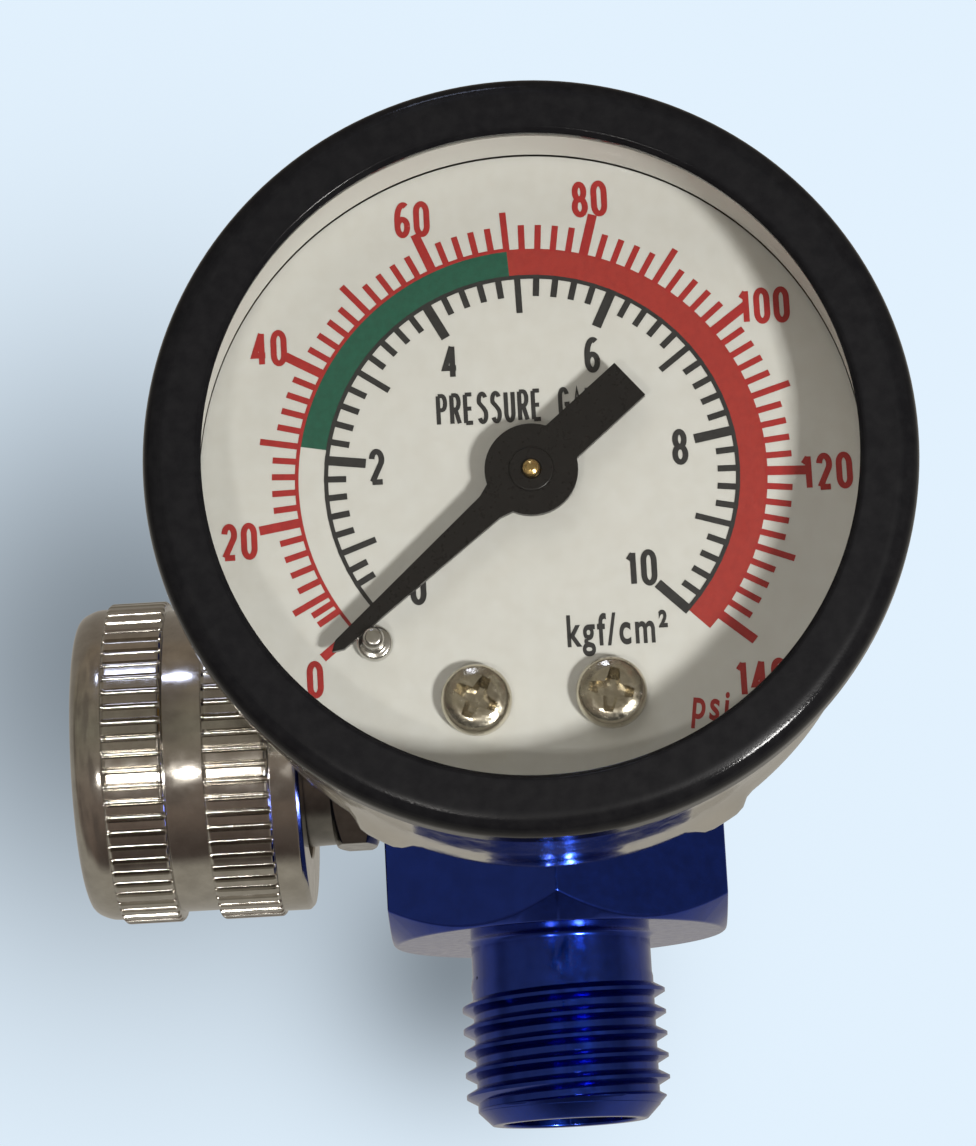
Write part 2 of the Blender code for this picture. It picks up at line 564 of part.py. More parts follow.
def build_tube():
    start, end = TUBE_ARC
    count = 26
    arc = [polar(TUBE_R, start + (end - start) * i / count) for i in range(count + 1)]
    wire("bourdon_tube", [(x, z, -TUBE_DEPTH) for x, z in arc], TUBE_RADIAL, PHOSPHOR_BRONZE,
         GAUGE_AT, FACING_FRONT, sides=2, flatten=TUBE_AXIAL / TUBE_RADIAL)
    lug = [polar(TUBE_R - 1.1, end + 1.6), polar(TUBE_R + 1.1, end + 1.6), polar(TUBE_R + 1.1, TIP_ANGLE)]
    lug += [(TIP_AT[0] + 1.1 * math.sin(a), TIP_AT[1] + 1.1 * math.cos(a))
            for a in (math.radians(TIP_ANGLE + 180 * i / 6) for i in range(1, 6))]
    lug += [polar(TUBE_R - 1.1, TIP_ANGLE)]
    sheet("tube_tip", lug, -14.2, -13.2, BRASS, GAUGE_AT, FACING_FRONT)


def build_pointer(pointer_axis):
    half_tail, tail_start, tail_end, hub = 1.3, 2.3, 7.8, 2.7
    hub_arc = [polar(hub, a) for a in range(150, 31, -15)]
    outline = [(-half_tail, -tail_end), (half_tail, -tail_end), (half_tail, -tail_start)]
    outline += hub_arc + [(0.85, 3.2), (0.32, 15.2), (0, 15.6), (-0.32, 15.2), (-0.85, 3.2)]
    outline += [(-x, y) for x, y in reversed(hub_arc)] + [(-half_tail, -tail_start)]
    pointer = sheet("pointer", turned_outline(outline, ZERO_ANGLE), -5.9, -5.45, POINTER_BLACK,
                    GAUGE_AT, FACING_FRONT, [circle(0.65, count=12)])
    bush = washer("pointer_bush", 0.65, 1.25, 6.0, 7.0, BRASS, GAUGE_AT, TO_Y, steps=16)

    teeth = turned_outline(gear_teeth(PINION_TEETH, 0, PINION_TEETH), SECTOR_ANGLE + 180.0 / PINION_TEETH)
    arbor = rod("pinion_arbor", 0.52, 5.2, 14.7, BRASS, GAUGE_AT, TO_Y, steps=14)
    pinion = sheet("pinion_teeth", teeth, -12.4, -11.2, None, GAUGE_AT, FACING_FRONT)
    combine(arbor, pinion, "UNION")
    for piece in (pointer, bush, arbor):
        hang(piece, pointer_axis)

    turns, count = 2.5, 40
    spiral = []
    for i in range(count + 1):
        x, z = polar(1.3 + 2.6 * i / count, 200.0 + 360.0 * turns * i / count)
        spiral.append((x, z, -13.0))
    wire("hairspring", spiral, 0.12, PHOSPHOR_BRONZE, GAUGE_AT, FACING_FRONT, sides=1)


def build_sector(sector_axis, link_axis):
    facing, step = SECTOR_ANGLE - 180.0, 360.0 / SECTOR_TEETH
    teeth = turned_outline(gear_teeth(SECTOR_TEETH, -1, 12), facing)
    first = facing - 1.6 * step
    last = facing + 10.6 * step
    rim_inner, rim_outer = 6.6, 8.1
    right_arm = [polar(rim_outer, last), polar(rim_inner, last), polar(2.2, last - 10), polar(1.6, 90.0)]
    left_arm = [polar(1.8, 190.0), polar(2.2, first + 8), polar(rim_inner, first), polar(rim_outer, first)]
    tail = [(ARM_OFFSET[0] + LINK_HALF_WIDTH * math.sin(a), ARM_OFFSET[1] + LINK_HALF_WIDTH * math.cos(a))
            for a in (math.radians(70.0 + 22 * i) for i in range(6))]
    outline = teeth + right_arm + tail + left_arm
    holes = [circle(0.75, count=12), circle(0.5, ARM_OFFSET, 12)]
    gear = sheet("sector_gear", outline, -12.0, -11.4, BRASS, on_gauge(*SECTOR_AT), FACING_FRONT, holes)
    arbor = rod("sector_arbor", ARBOR_R, 8.6, 14.8, STEEL, on_gauge(*SECTOR_AT), TO_Y, steps=14)
    pin = rod("sector_pin", 0.38, 11.2, 13.0, STEEL, on_gauge(*SECTOR_PIN_AT), TO_Y, steps=12)
    for piece in (gear, arbor, pin):
        hang(piece, sector_axis)

    reach = Vector((TIP_AT[0] - SECTOR_PIN_AT[0], TIP_AT[1] - SECTOR_PIN_AT[1]))
    heading = 90.0 - math.degrees(math.atan2(reach.y, reach.x))
    end = [(LINK_HALF_WIDTH * math.sin(a), LINK_HALF_WIDTH * math.cos(a))
           for a in (math.radians(90 + 180 * i / 6) for i in range(7))]
    outline = end + [(-x, reach.length - y) for x, y in end]
    strip = sheet("link", turned_outline(outline, heading), -12.8, -12.3, BRASS,
                  on_gauge(*SECTOR_PIN_AT), FACING_FRONT,
                  [circle(0.5, count=12), circle(0.5, (reach.x, reach.y), 12)])
    tip_pin = rod("tip_pin", 0.38, 12.1, 13.05, STEEL, on_gauge(*TIP_AT), TO_Y, steps=12)
    hang(strip, link_axis)
    hang(tip_pin, link_axis)


# ---------------------------------------------------------------- assembly

slide_empty = pivot("spindle_travel_axis", VALVE_AT)
knob_empty = pivot("knob_turn_axis", VALVE_AT, slide_empty)
pointer_empty = pivot("pointer_turn_axis", GAUGE_AT)
sector_empty = pivot("sector_swing_axis", on_gauge(*SECTOR_AT))
link_empty = pivot("link_swing_axis", on_gauge(*SECTOR_PIN_AT), sector_empty)

build_valve_body()
build_gland()
build_spindle(knob_empty, slide_empty)
build_knob(knob_empty)
build_bezel()
build_case()
build_lens()
build_dial()
build_socket()
build_movement_frame()
build_tube()
build_pointer(pointer_empty)
build_sector(sector_empty, link_empty)
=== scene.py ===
"""Looks of the air pressure regulator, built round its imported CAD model.

Shapes are given in millimetres and turned into metres in one place, when a mesh is made.
"""
import json
import math

import bmesh
import bpy
import numpy as np
from mathutils import Euler, Matrix, Vector


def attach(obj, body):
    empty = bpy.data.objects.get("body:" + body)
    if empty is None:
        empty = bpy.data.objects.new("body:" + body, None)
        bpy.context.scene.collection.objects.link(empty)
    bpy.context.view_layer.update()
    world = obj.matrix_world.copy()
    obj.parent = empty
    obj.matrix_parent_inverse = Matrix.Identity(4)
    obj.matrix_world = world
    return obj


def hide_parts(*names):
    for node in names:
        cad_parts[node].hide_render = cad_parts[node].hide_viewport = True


MM = 0.001

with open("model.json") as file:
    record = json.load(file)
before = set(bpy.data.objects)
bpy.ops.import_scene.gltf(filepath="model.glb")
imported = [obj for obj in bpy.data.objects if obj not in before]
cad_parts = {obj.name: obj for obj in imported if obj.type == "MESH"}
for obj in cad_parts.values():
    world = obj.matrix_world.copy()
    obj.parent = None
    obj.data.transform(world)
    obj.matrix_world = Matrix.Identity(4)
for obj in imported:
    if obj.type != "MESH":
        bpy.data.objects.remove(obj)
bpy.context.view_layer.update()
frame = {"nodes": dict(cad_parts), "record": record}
nodes = frame["nodes"]

# Places that the CAD model gives, in millimetres
THREAD_PITCH = 1.411
HEX_AF, HEX_BOTTOM, HEX_TOP = 21.8, 11.9, 52.0
VALVE_Z = 25.08
GLAND_AF, GLAND_TURN = 12.7, 3.7  # across its flats, and its turn in degrees
GAUGE_Z, GAUGE_FRONT = 35.18, -41.5
DIAL_FRONT, DIAL_BACK = 7.2, 7.7  # behind the bezel's front, as other depths on the gauge
POINTER_FRONT, POINTER_BACK = 5.45, 5.9
POINTER_REST = -130.0  # clockwise from straight up, in degrees

# Places (x, z) from the gauge's axis
DIAL_SCREWS = {"left": (-3.87, -13.06), "right": (3.87, -13.06)}
CASE_SCREWS = {"left": (-4.0, -10.5), "right": (4.0, -10.5)}
MOVEMENT_SCREWS = {"upper": (4.4, 4.0), "lower": (-4.9, -2.6)}
STOP_PIN_ANGLE, STOP_PIN_RADIUS = -134.6, 13.4

# The dial's scales. The even part would start a little before the zero mark.
ZERO_ANGLE, EVEN_SCALE_START, DEGREES_PER_PSI = -128.6, -136.6, 1.906
PSI_PER_KGF = 14.223


# ---------------------------------------------------------------- materials

class Nodes:
    """A few shorthands for building one node tree."""

    def __init__(self, tree):
        self.tree = tree

    def add(self, kind, **settings):
        node = self.tree.nodes.new("ShaderNode" + kind)
        for name, value in settings.items():
            setattr(node, name, value)
        return node

    def join(self, source, target):
        self.tree.links.new(source, target)

    def place(self, stretch=(1.0, 1.0, 1.0)):
        """Object coordinates, in metres, stretched along the axes."""
        coordinates = self.add("TexCoord")
        mapping = self.add("Mapping")
        mapping.inputs["Scale"].default_value = stretch
        self.join(coordinates.outputs["Object"], mapping.inputs["Vector"])
        return mapping.outputs["Vector"]

    def noise(self, scale, detail=3.0, roughness=0.55, stretch=(1.0, 1.0, 1.0)):
        texture = self.add("TexNoise")
        texture.inputs["Scale"].default_value = scale
        texture.inputs["Detail"].default_value = detail
        texture.inputs["Roughness"].default_value = roughness
        self.join(self.place(stretch), texture.inputs["Vector"])
        return texture.outputs["Fac"]

    def remap(self, value, low, high, to_low, to_high):
        node = self.add("MapRange")
        for name, number in (("From Min", low), ("From Max", high), ("To Min", to_low),
                             ("To Max", to_high)):
            node.inputs[name].default_value = number
        self.join(value, node.inputs["Value"])
        return node.outputs["Result"]

    def maths(self, operation, first, second):
        node = self.add("Math", operation=operation)
        for socket, value in zip(node.inputs, (first, second)):
            if isinstance(value, (int, float)):
                socket.default_value = value
            else:
                self.join(value, socket)
        return node.outputs[0]

    def mix(self, factor, first, second):
        """A colour between two, each given as numbers or as a socket."""
        node = self.add("Mix", data_type="RGBA")
        for socket, value in zip((node.inputs[0], node.inputs[6], node.inputs[7]),
                                 (factor, first, second)):
            if isinstance(value, (int, float)):
                socket.default_value = value
            elif isinstance(value, tuple):
                socket.default_value = (*value, 1.0)
            else:
                self.join(value, socket)
        return node.outputs[2]

    def ramp(self, value, stops):
        """Colours along a value from 0 to 1, from (position, colour) stops."""
        node = self.add("ValToRGB")
        elements = node.color_ramp.elements
        while len(elements) < len(stops):
            elements.new(0.5)
        for element, (position, colour) in zip(elements, stops):
            element.position = position
            element.color = (*colour, 1.0)
        self.join(value, node.inputs["Fac"])
        return node.outputs["Color"]

    def bump(self, height, strength, distance, normal=None):
        node = self.add("Bump")
        node.inputs["Strength"].default_value = strength
        node.inputs["Distance"].default_value = distance
        self.join(height, node.inputs["Height"])
        if normal:
            self.join(normal, node.inputs["Normal"])
        return node.outputs["Normal"]


def material(name, colour, shade, metallic, roughness, mottle=900.0, grain=(6000.0, 0.1, 0.00001),
             stretch=(1.0, 1.0, 1.0), coat=0.0, waves=None):
    """A surface whose colour, roughness and relief all vary a little from place to place.

    The colour runs between colour and shade. Roughness is (lowest, highest). Grain is the scale,
    strength and depth of the finest relief, and waves the same for a coarser one.
    """
    made = bpy.data.materials.new(name)
    made.use_nodes = True
    tree = Nodes(made.node_tree)
    shader = made.node_tree.nodes["Principled BSDF"]
    patches = tree.noise(mottle, 4.0, 0.6, stretch)
    spread = tree.remap(patches, 0.35, 0.65, 0.0, 1.0)
    tree.join(tree.mix(spread, colour, shade), shader.inputs["Base Color"])
    smears = tree.noise(mottle * 2.3, 3.0, 0.5, stretch)
    tree.join(tree.remap(smears, 0.3, 0.7, *roughness), shader.inputs["Roughness"])
    normal = None
    if waves:
        scale, strength, distance = waves
        normal = tree.bump(tree.noise(scale, 2.0, 0.5, stretch), strength, distance)
    scale, strength, distance = grain
    normal = tree.bump(tree.noise(scale, 2.0, 0.6, stretch), strength, distance, normal)
    tree.join(normal, shader.inputs["Normal"])
    shader.inputs["Metallic"].default_value = metallic
    shader.inputs["Coat Weight"].default_value = coat
    shader.inputs["Coat Roughness"].default_value = 0.08
    return made


BLUE = material("blue_anodised", (0.008, 0.034, 0.30), (0.011, 0.042, 0.36), 1.0, (0.15, 0.24),
                700.0, (5000.0, 0.12, 0.00001), coat=0.42)
NICKEL = material("polished_nickel", (0.47, 0.45, 0.41), (0.38, 0.36, 0.325), 1.0, (0.09, 0.17),
                  500.0, (4000.0, 0.10, 0.00001), waves=(450.0, 0.10, 0.00005))
# Painted shade: a darker copy of the polished nickel for the gland. Its darkness stands in for the shadow
# the gland sits in and the dark surroundings it reflects.
NICKEL_WITH_PAINTED_SHADE = material("nickel_painted_shade", (0.20, 0.19, 0.175), (0.13, 0.125, 0.115), 1.0, (0.14, 0.24),
                       500.0, (4000.0, 0.10, 0.00001))
CASE_METAL = material("case_nickel", (0.66, 0.64, 0.60), (0.61, 0.59, 0.55), 1.0, (0.10, 0.18),
                      400.0, (2600.0, 0.15, 0.00002), waves=(420.0, 0.55, 0.00010))
STEEL = material("plated_steel", (0.64, 0.63, 0.60), (0.54, 0.52, 0.49), 1.0, (0.16, 0.28))
SCREW_STEEL = material("yellowed_steel", (0.66, 0.61, 0.50), (0.54, 0.49, 0.39), 1.0, (0.14, 0.28),
                       1200.0, (3500.0, 0.25, 0.00003), waves=(1500.0, 0.35, 0.00010))
BRASS = material("machined_brass", (0.74, 0.53, 0.22), (0.68, 0.47, 0.18), 1.0, (0.18, 0.28),
                 500.0, (4500.0, 0.06, 0.00001))
BRONZE = material("phosphor_bronze", (0.66, 0.38, 0.20), (0.54, 0.29, 0.15), 1.0, (0.24, 0.38))
RUBBER = material("black_rubber", (0.020, 0.020, 0.020), (0.032, 0.031, 0.030), 0.0, (0.70, 0.90),
                  1500.0, (5000.0, 0.30, 0.00003))
FIBRE = material("dark_fibre", (0.050, 0.044, 0.040), (0.032, 0.028, 0.025), 0.0, (0.60, 0.80),
                 2500.0, (6000.0, 0.40, 0.00004), stretch=(1.0, 1.0, 4.0))
NYLON = material("white_nylon", (0.80, 0.79, 0.75), (0.72, 0.70, 0.65), 0.0, (0.35, 0.50))
DIAL_WHITE = material("dial_enamel", (0.56, 0.56, 0.535), (0.535, 0.53, 0.50), 0.0, (0.40, 0.55),
                      900.0, (3500.0, 0.10, 0.00001))
PRINT_RED = material("print_red", (0.34, 0.012, 0.011), (0.29, 0.009, 0.009), 0.0, (0.40, 0.60), 2500.0)
BAND_RED = material("band_red", (0.32, 0.020, 0.013), (0.28, 0.016, 0.011), 0.0, (0.40, 0.60), 2500.0)
BAND_GREEN = material("band_green", (0.003, 0.082, 0.048), (0.002, 0.066, 0.038), 0.0, (0.40, 0.60),
                      2500.0)
PRINT_BLACK = material("print_black", (0.012, 0.012, 0.013), (0.020, 0.019, 0.019), 0.0,
                       (0.40, 0.60), 2500.0)
POINTER_BLACK = material("pointer_black", (0.008, 0.007, 0.007), (0.010, 0.009, 0.009), 0.0,
                         (0.26, 0.34), 1500.0, (6000.0, 0.10, 0.00001))
POINTER_BLACK.node_tree.nodes["Principled BSDF"].inputs["Specular IOR Level"].default_value = 0.25


def bezel_paint():
    """Black paint: a finely grained satin face between glossy edges."""
    made = material("bezel_black", (0.006, 0.006, 0.007), (0.009, 0.009, 0.010), 0.0, (0.10, 0.16),
                    1200.0, (7000.0, 0.22, 0.00002))
    tree = Nodes(made.node_tree)
    shader = made.node_tree.nodes["Principled BSDF"]
    coordinates = tree.add("TexCoord")
    split = tree.add("SeparateXYZ")
    tree.join(coordinates.outputs["Object"], split.inputs[0])
    across = tree.maths("POWER", split.outputs["X"], 2.0)
    height = tree.maths("SUBTRACT", split.outputs["Z"], GAUGE_Z * MM)
    radius = tree.maths("SQRT", tree.maths("ADD", across, tree.maths("POWER", height, 2.0)), 0.0)
    outer = tree.remap(radius, 20.7 * MM, 21.2 * MM, 1.0, 0.0)
    inner = tree.remap(radius, 18.8 * MM, 19.0 * MM, 0.0, 1.0)
    smears = tree.remap(tree.noise(1800.0), 0.3, 0.7, 0.38, 0.46)
    face = tree.maths("MULTIPLY", tree.maths("MULTIPLY", outer, inner), smears)
    tree.join(tree.maths("ADD", face, 0.10), shader.inputs["Roughness"])
    shader.inputs["Specular IOR Level"].default_value = 0.07
    return made


def clear_plastic():
    """A clear moulding: see-through, with a sheen that grows at grazing angles, and a milky skirt."""
    made = bpy.data.materials.new("clear_plastic")
    made.use_nodes = True
    tree = Nodes(made.node_tree)
    made.node_tree.nodes.remove(made.node_tree.nodes["Principled BSDF"])
    normal = tree.bump(tree.noise(300.0, 1.0), 0.05, 0.00005)
    fresnel = tree.add("Fresnel")
    fresnel.inputs["IOR"].default_value = 1.45
    tree.join(normal, fresnel.inputs["Normal"])
    through = tree.add("BsdfTransparent")
    tint = tree.mix(tree.noise(400.0), (0.955, 0.960, 0.955), (0.975, 0.975, 0.965))
    tree.join(tint, through.inputs["Color"])
    sheen = tree.add("BsdfGlossy")
    sheen.inputs["Roughness"].default_value = 0.06
    tree.join(normal, sheen.inputs["Normal"])
    blend = tree.add("MixShader")
    tree.join(tree.maths("MULTIPLY", fresnel.outputs[0], 0.55), blend.inputs[0])
    tree.join(through.outputs[0], blend.inputs[1])
    tree.join(sheen.outputs[0], blend.inputs[2])
    milk = tree.add("BsdfDiffuse")
    milk.inputs["Color"].default_value = (0.80, 0.79, 0.75, 1.0)
    split = tree.add("SeparateXYZ")
    tree.join(tree.place(), split.inputs[0])
    skirt = tree.add("MixShader")
    start = (GAUGE_FRONT + 2.95) * MM
    tree.join(tree.remap(split.outputs["Y"], start, start + 0.0003, 0.0, 0.75), skirt.inputs[0])
    tree.join(blend.outputs[0], skirt.inputs[1])
    tree.join(milk.outputs[0], skirt.inputs[2])
    tree.join(skirt.outputs[0], made.node_tree.nodes["Material Output"].inputs["Surface"])
    return made


BEZEL_BLACK = bezel_paint()
CLEAR = clear_plastic()


# ---------------------------------------------------------------- shapes

def about_z(angle, radius, height):
    """World place of a point on a piece turned about the body's axis. Angle 0 is towards +Y."""
    return radius * np.sin(angle), radius * np.cos(angle), height + 0 * angle


def about_valve(angle, radius, height):
    """As about_z, for the valve's axis along X."""
    return height + 0 * angle, radius * np.sin(angle), VALVE_Z + radius * np.cos(angle)


def about_gauge(angle, radius, height):
    """As about_z, for the gauge's axis. Angle 0 is up, and heights run back from the bezel's front."""
    return radius * np.sin(angle), GAUGE_FRONT + height + 0 * angle, GAUGE_Z + radius * np.cos(angle)


def about(x, z, depth=0.0, facing=-1.0):
    """As about_gauge, for an axis through (x, z) on the gauge. Facing -1 counts heights forwards."""
    def place(angle, radius, height):
        return (x + radius * np.sin(angle), GAUGE_FRONT + depth + facing * height + 0 * angle,
                GAUGE_Z + z + radius * np.cos(angle))
    return place


def add_piece(name, mesh, finish, body, stands_for=(), sharp=40.0):
    """A shown piece that rides on a body. Its mesh is in metres, in the row frame."""
    mesh.name = name
    mesh.materials.clear()
    mesh.materials.append(finish)
    mesh.shade_smooth()
    mesh.set_sharp_from_angle(angle=math.radians(sharp))
    piece = bpy.data.objects.new(name, mesh)
    bpy.context.scene.collection.objects.link(piece)
    weighted = piece.modifiers.new("flat_faces_stay_flat", "WEIGHTED_NORMAL")
    weighted.keep_sharp = True
    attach(piece, body)
    if stands_for:
        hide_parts(*stands_for)
    return piece


def rounded(points, steps=4):
    """A profile's rows with its corners rounded.

    A point is (radius, height) or (radius, height, rounding), and its numbers may be arrays with one
    value for each column round the axis.
    """
    columns = max(np.size(value) for point in points for value in point)
    spots = [np.stack([np.broadcast_to(np.asarray(v, float), columns) for v in p[:2]], -1)
             for p in points]
    rows = []
    for i, (point, spot) in enumerate(zip(points, spots)):
        rounding = point[2] if len(point) > 2 else 0.0
        if not rounding or i in (0, len(points) - 1):
            rows.append(spot)
            continue
        ends = []
        for other in (spots[i - 1], spots[i + 1]):
            way = other - spot
            length = np.linalg.norm(way, axis=-1, keepdims=True)
            ends.append(spot + way / length * np.minimum(rounding, 0.48 * length))
        for s in np.linspace(0.0, 1.0, steps + 1):
            rows.append((1 - s) ** 2 * ends[0] + 2 * s * (1 - s) * spot + s ** 2 * ends[1])
    return np.stack(rows)


def wrapped_mesh(place, angles, rows, ring=False):
    """A mesh from profile rows, swept round an axis. A row of zero radius becomes one point."""
    count = len(angles)
    if rows.shape[1] == 1:
        rows = np.repeat(rows, count, axis=1)
    vertices, row_start, faces = [], [], []
    for row in rows:
        pole = bool(np.all(row[:, 0] < 1e-6))
        at = angles[:1] if pole else angles
        line = row[:1] if pole else row
        row_start.append((len(vertices), pole))
        vertices += list(zip(*(np.broadcast_to(c, len(at)) * MM for c in place(at, line[:, 0],
                                                                             line[:, 1]))))
    pairs = list(zip(row_start, row_start[1:]))
    if ring:
        pairs.append((row_start[-1], row_start[0]))
    for (first, first_pole), (second, second_pole) in pairs:
        for i in range(count):
            j = (i + 1) % count
            if first_pole and second_pole:
                continue
            if first_pole:
                faces.append((first, second + i, second + j))
            elif second_pole:
                faces.append((first + i, second, first + j))
            else:
                faces.append((first + i, second + i, second + j, first + j))
    mesh = bpy.data.meshes.new("wrapped")
    mesh.from_pydata(vertices, [], faces)
    shape = bmesh.new()
    shape.from_mesh(mesh)
    bmesh.ops.recalc_face_normals(shape, faces=shape.faces)
    shape.to_mesh(mesh)
    shape.free()
    return mesh


def even(count):
    """Angles spaced evenly round a full turn."""
    return np.linspace(0.0, 2 * math.pi, count, endpoint=False)


def turned(profile, place, count=96, ring=False):
    """A round mesh from a profile. A ring's profile closes on itself."""
    return wrapped_mesh(place, even(count), rounded(profile), ring)


def hexagon_columns(across_flats, corner, clocking=0.0, flat_steps=16, corner_steps=6):
    """Angles round a hexagonal bar, and how far its rounded surface is from the axis at each."""
    centre = across_flats / math.sqrt(3) - corner / math.sin(math.radians(60))
    points = []
    for k in range(6):
        turn = math.pi / 3 * k
        arc = np.linspace(-math.pi / 6, math.pi / 6, corner_steps + 1)
        tips = [(centre * math.cos(turn) + corner * math.cos(turn + a),
                 centre * math.sin(turn) + corner * math.sin(turn + a)) for a in arc]
        following = turn + math.pi / 3
        end = (centre * math.cos(following) + corner * math.cos(following - math.pi / 6),
               centre * math.sin(following) + corner * math.sin(following - math.pi / 6))
        points += tips
        start = tips[-1]
        for s in np.linspace(0.0, 1.0, flat_steps + 1)[1:-1]:
            points.append((start[0] + (end[0] - start[0]) * s, start[1] + (end[1] - start[1]) * s))
    points = np.array(points)
    return np.arctan2(points[:, 1], points[:, 0]) + clocking, np.hypot(points[:, 0], points[:, 1])


def flat_mesh(outline, depth_front, depth_back, holes=()):
    """A sheet in the plane of the dial, from (x, z) outlines and its two depths."""
    curve = bpy.data.curves.new("outline", "CURVE")
    curve.dimensions = "2D"
    curve.fill_mode = "BOTH"
    curve.extrude = (depth_back - depth_front) / 2 * MM
    for loop in (outline, *holes):
        spline = curve.splines.new("POLY")
        spline.points.add(len(loop) - 1)
        for point, (x, z) in zip(spline.points, loop):
            point.co = (x * MM, z * MM, 0.0, 1.0)
        spline.use_cyclic_u = True
    return stood_up(curve, (depth_back + depth_front) / 2)


def stood_up(curve, depth):
    """The mesh of a flat curve or text, stood up to face forwards at a depth on the gauge."""
    flat = bpy.data.objects.new("flat", curve)
    bpy.context.scene.collection.objects.link(flat)
    bpy.context.view_layer.update()
    mesh = bpy.data.meshes.new_from_object(flat.evaluated_get(bpy.context.evaluated_depsgraph_get()))
    bpy.data.objects.remove(flat, do_unlink=True)
    mesh.transform(Matrix.Translation((0, (GAUGE_FRONT + depth) * MM, GAUGE_Z * MM))
                   @ Euler((math.pi / 2, 0, 0)).to_matrix().to_4x4())
    return mesh


def joined(meshes):
    """Several meshes as one, with touching vertices merged."""
    shape = bmesh.new()
    for mesh in meshes:
        shape.from_mesh(mesh)
    bmesh.ops.remove_doubles(shape, verts=shape.verts, dist=0.0000005)
    whole = bpy.data.meshes.new("joined")
    shape.to_mesh(whole)
    shape.free()
    return whole


def cut(mesh, *tools):
    """The mesh with the tools' meshes taken out of it."""
    target = bpy.data.objects.new("target", mesh)
    bpy.context.scene.collection.objects.link(target)
    helpers = [target]
    for tool in tools:
        cutter = bpy.data.objects.new("cutter", tool)
        bpy.context.scene.collection.objects.link(cutter)
        boolean = target.modifiers.new("cut", "BOOLEAN")
        boolean.operation = "DIFFERENCE"
        boolean.solver = "EXACT"
        boolean.object = cutter
        helpers.append(cutter)
    bpy.context.view_layer.update()
    evaluated = target.evaluated_get(bpy.context.evaluated_depsgraph_get())
    done = bpy.data.meshes.new_from_object(evaluated)
    for helper in helpers:
        bpy.data.objects.remove(helper, do_unlink=True)
    return done


def polar(radius, clockwise):
    """The (x, z) of a place on the dial, at degrees clockwise from straight up."""
    angle = math.radians(clockwise)
    return radius * math.sin(angle), radius * math.cos(angle)


def spun(points, clockwise):
    """Points (x, z) turned clockwise about the dial's centre, by degrees."""
    angle = math.radians(clockwise)
    return [(x * math.cos(angle) + z * math.sin(angle), z * math.cos(angle) - x * math.sin(angle))
            for x, z in points]


# ---------------------------------------------------------------- valve body

def build_body():
    """The hexagonal bar with its turned chamfers, spigot and ports."""
    angles, reach = hexagon_columns(HEX_AF, 0.22)
    slope, face_r, edge = 0.92, 10.7, 0.14
    drop = (reach - face_r) * slope
    port_r, port_floor, chamber_r, chamber_floor = 5.9, 41.5, 3.2, 29.6
    inlet_r, inlet_floor, neck_r, thread_root, tip_r = 4.34, 15.0, 5.85, 5.91, 5.02
    profile = [(0, chamber_floor), (chamber_r, chamber_floor), (chamber_r, port_floor),
               (port_r, port_floor)]
    groove_turns, groove_depth = 6, 0.55
    for turn in range(groove_turns):
        middle = port_floor + 1.2 + THREAD_PITCH * (turn + 0.5)
        profile += [(port_r, middle - 0.62), (port_r + groove_depth, middle - 0.08),
                    (port_r + groove_depth, middle + 0.08), (port_r, middle + 0.62)]
    profile += [(port_r, HEX_TOP - 0.8), (port_r + 0.8, HEX_TOP, 0.1),
                (face_r, HEX_TOP, edge), (reach, HEX_TOP - drop, edge),
                (reach, HEX_BOTTOM + drop, edge), (face_r, HEX_BOTTOM, edge),
                (neck_r, HEX_BOTTOM, 0.45), (neck_r, 9.5), (thread_root, 9.2), (thread_root, 0.9),
                (tip_r, 0.0, 0.12), (inlet_r, 0.0, 0.16), (inlet_r, inlet_floor), (0, inlet_floor)]
    mesh = wrapped_mesh(about_z, angles, rounded(profile))
    valve_bore = turned([(0, -24.0), (5.0, -24.0), (5.0, -6.8), (3.4, -6.8), (3.4, 0.8), (2.2, 0.8),
                         (2.2, 4.8), (0, 4.8)], about_valve, 48)
    spot_face = turned([(0, 6.0), (6.1, 6.0), (6.1, 30.9), (5.0, 30.9), (5.0, 37.2), (1.5, 37.2),
                        (1.5, 41.5), (0, 41.5)], about_gauge, 48)
    return cut(mesh, valve_bore, spot_face)


def build_thread():
    """The male thread as one helical ridge that fades in at the end chamfer and out at the neck."""
    per_turn, sides = 128, 5
    low, high = 0.15, 9.05
    turns = (high - low) / THREAD_PITCH
    count = int(per_turn * turns)
    root, crest, sunk, tip_r, chamfer_slope = 5.89, 6.62, 5.55, 5.02, 0.94
    half_base, half_crest = THREAD_PITCH * 0.37, THREAD_PITCH * 0.08
    offsets = [-half_base * 1.02, -half_base]
    offsets += list(np.linspace(-half_base, -half_crest, sides + 1)[1:])
    offsets += [-x for x in reversed(offsets)]
    vertices, faces = [], []
    for step in range(count + 1):
        angle = 2 * math.pi * step / per_turn
        middle = low + THREAD_PITCH * step / per_turn
        fade = min(1.0, (count - step) / (per_turn * 0.45))
        for offset in offsets:
            height = middle + offset
            rise = min(1.0, max(0.0, (half_base - abs(offset)) / (half_base - half_crest)))
            radius = root + (crest - root) * rise * fade
            if abs(offset) > half_base:
                radius = sunk
            radius = min(radius, tip_r + chamfer_slope * max(height, 0.0))
            vertices.append(tuple(c * MM for c in (radius * math.sin(-angle),
                                                   radius * math.cos(-angle), max(height, 0.02))))
    width = len(offsets)
    for step in range(count):
        for k in range(width - 1):
            a, b = step * width + k, (step + 1) * width + k
            faces.append((a, a + 1, b + 1, b))
    mesh = bpy.data.meshes.new("thread")
    mesh.from_pydata(vertices, [], faces)
    shape = bmesh.new()
    shape.from_mesh(mesh)
    bmesh.ops.recalc_face_normals(shape, faces=shape.faces)
    shape.to_mesh(mesh)
    shape.free()
    return mesh


add_piece("regulator_body", build_body(), BLUE, "root", ["valve_body"])
add_piece("inlet_thread_ridge", build_thread(), BLUE, "root", sharp=60.0)


# ---------------------------------------------------------------- gland and knob

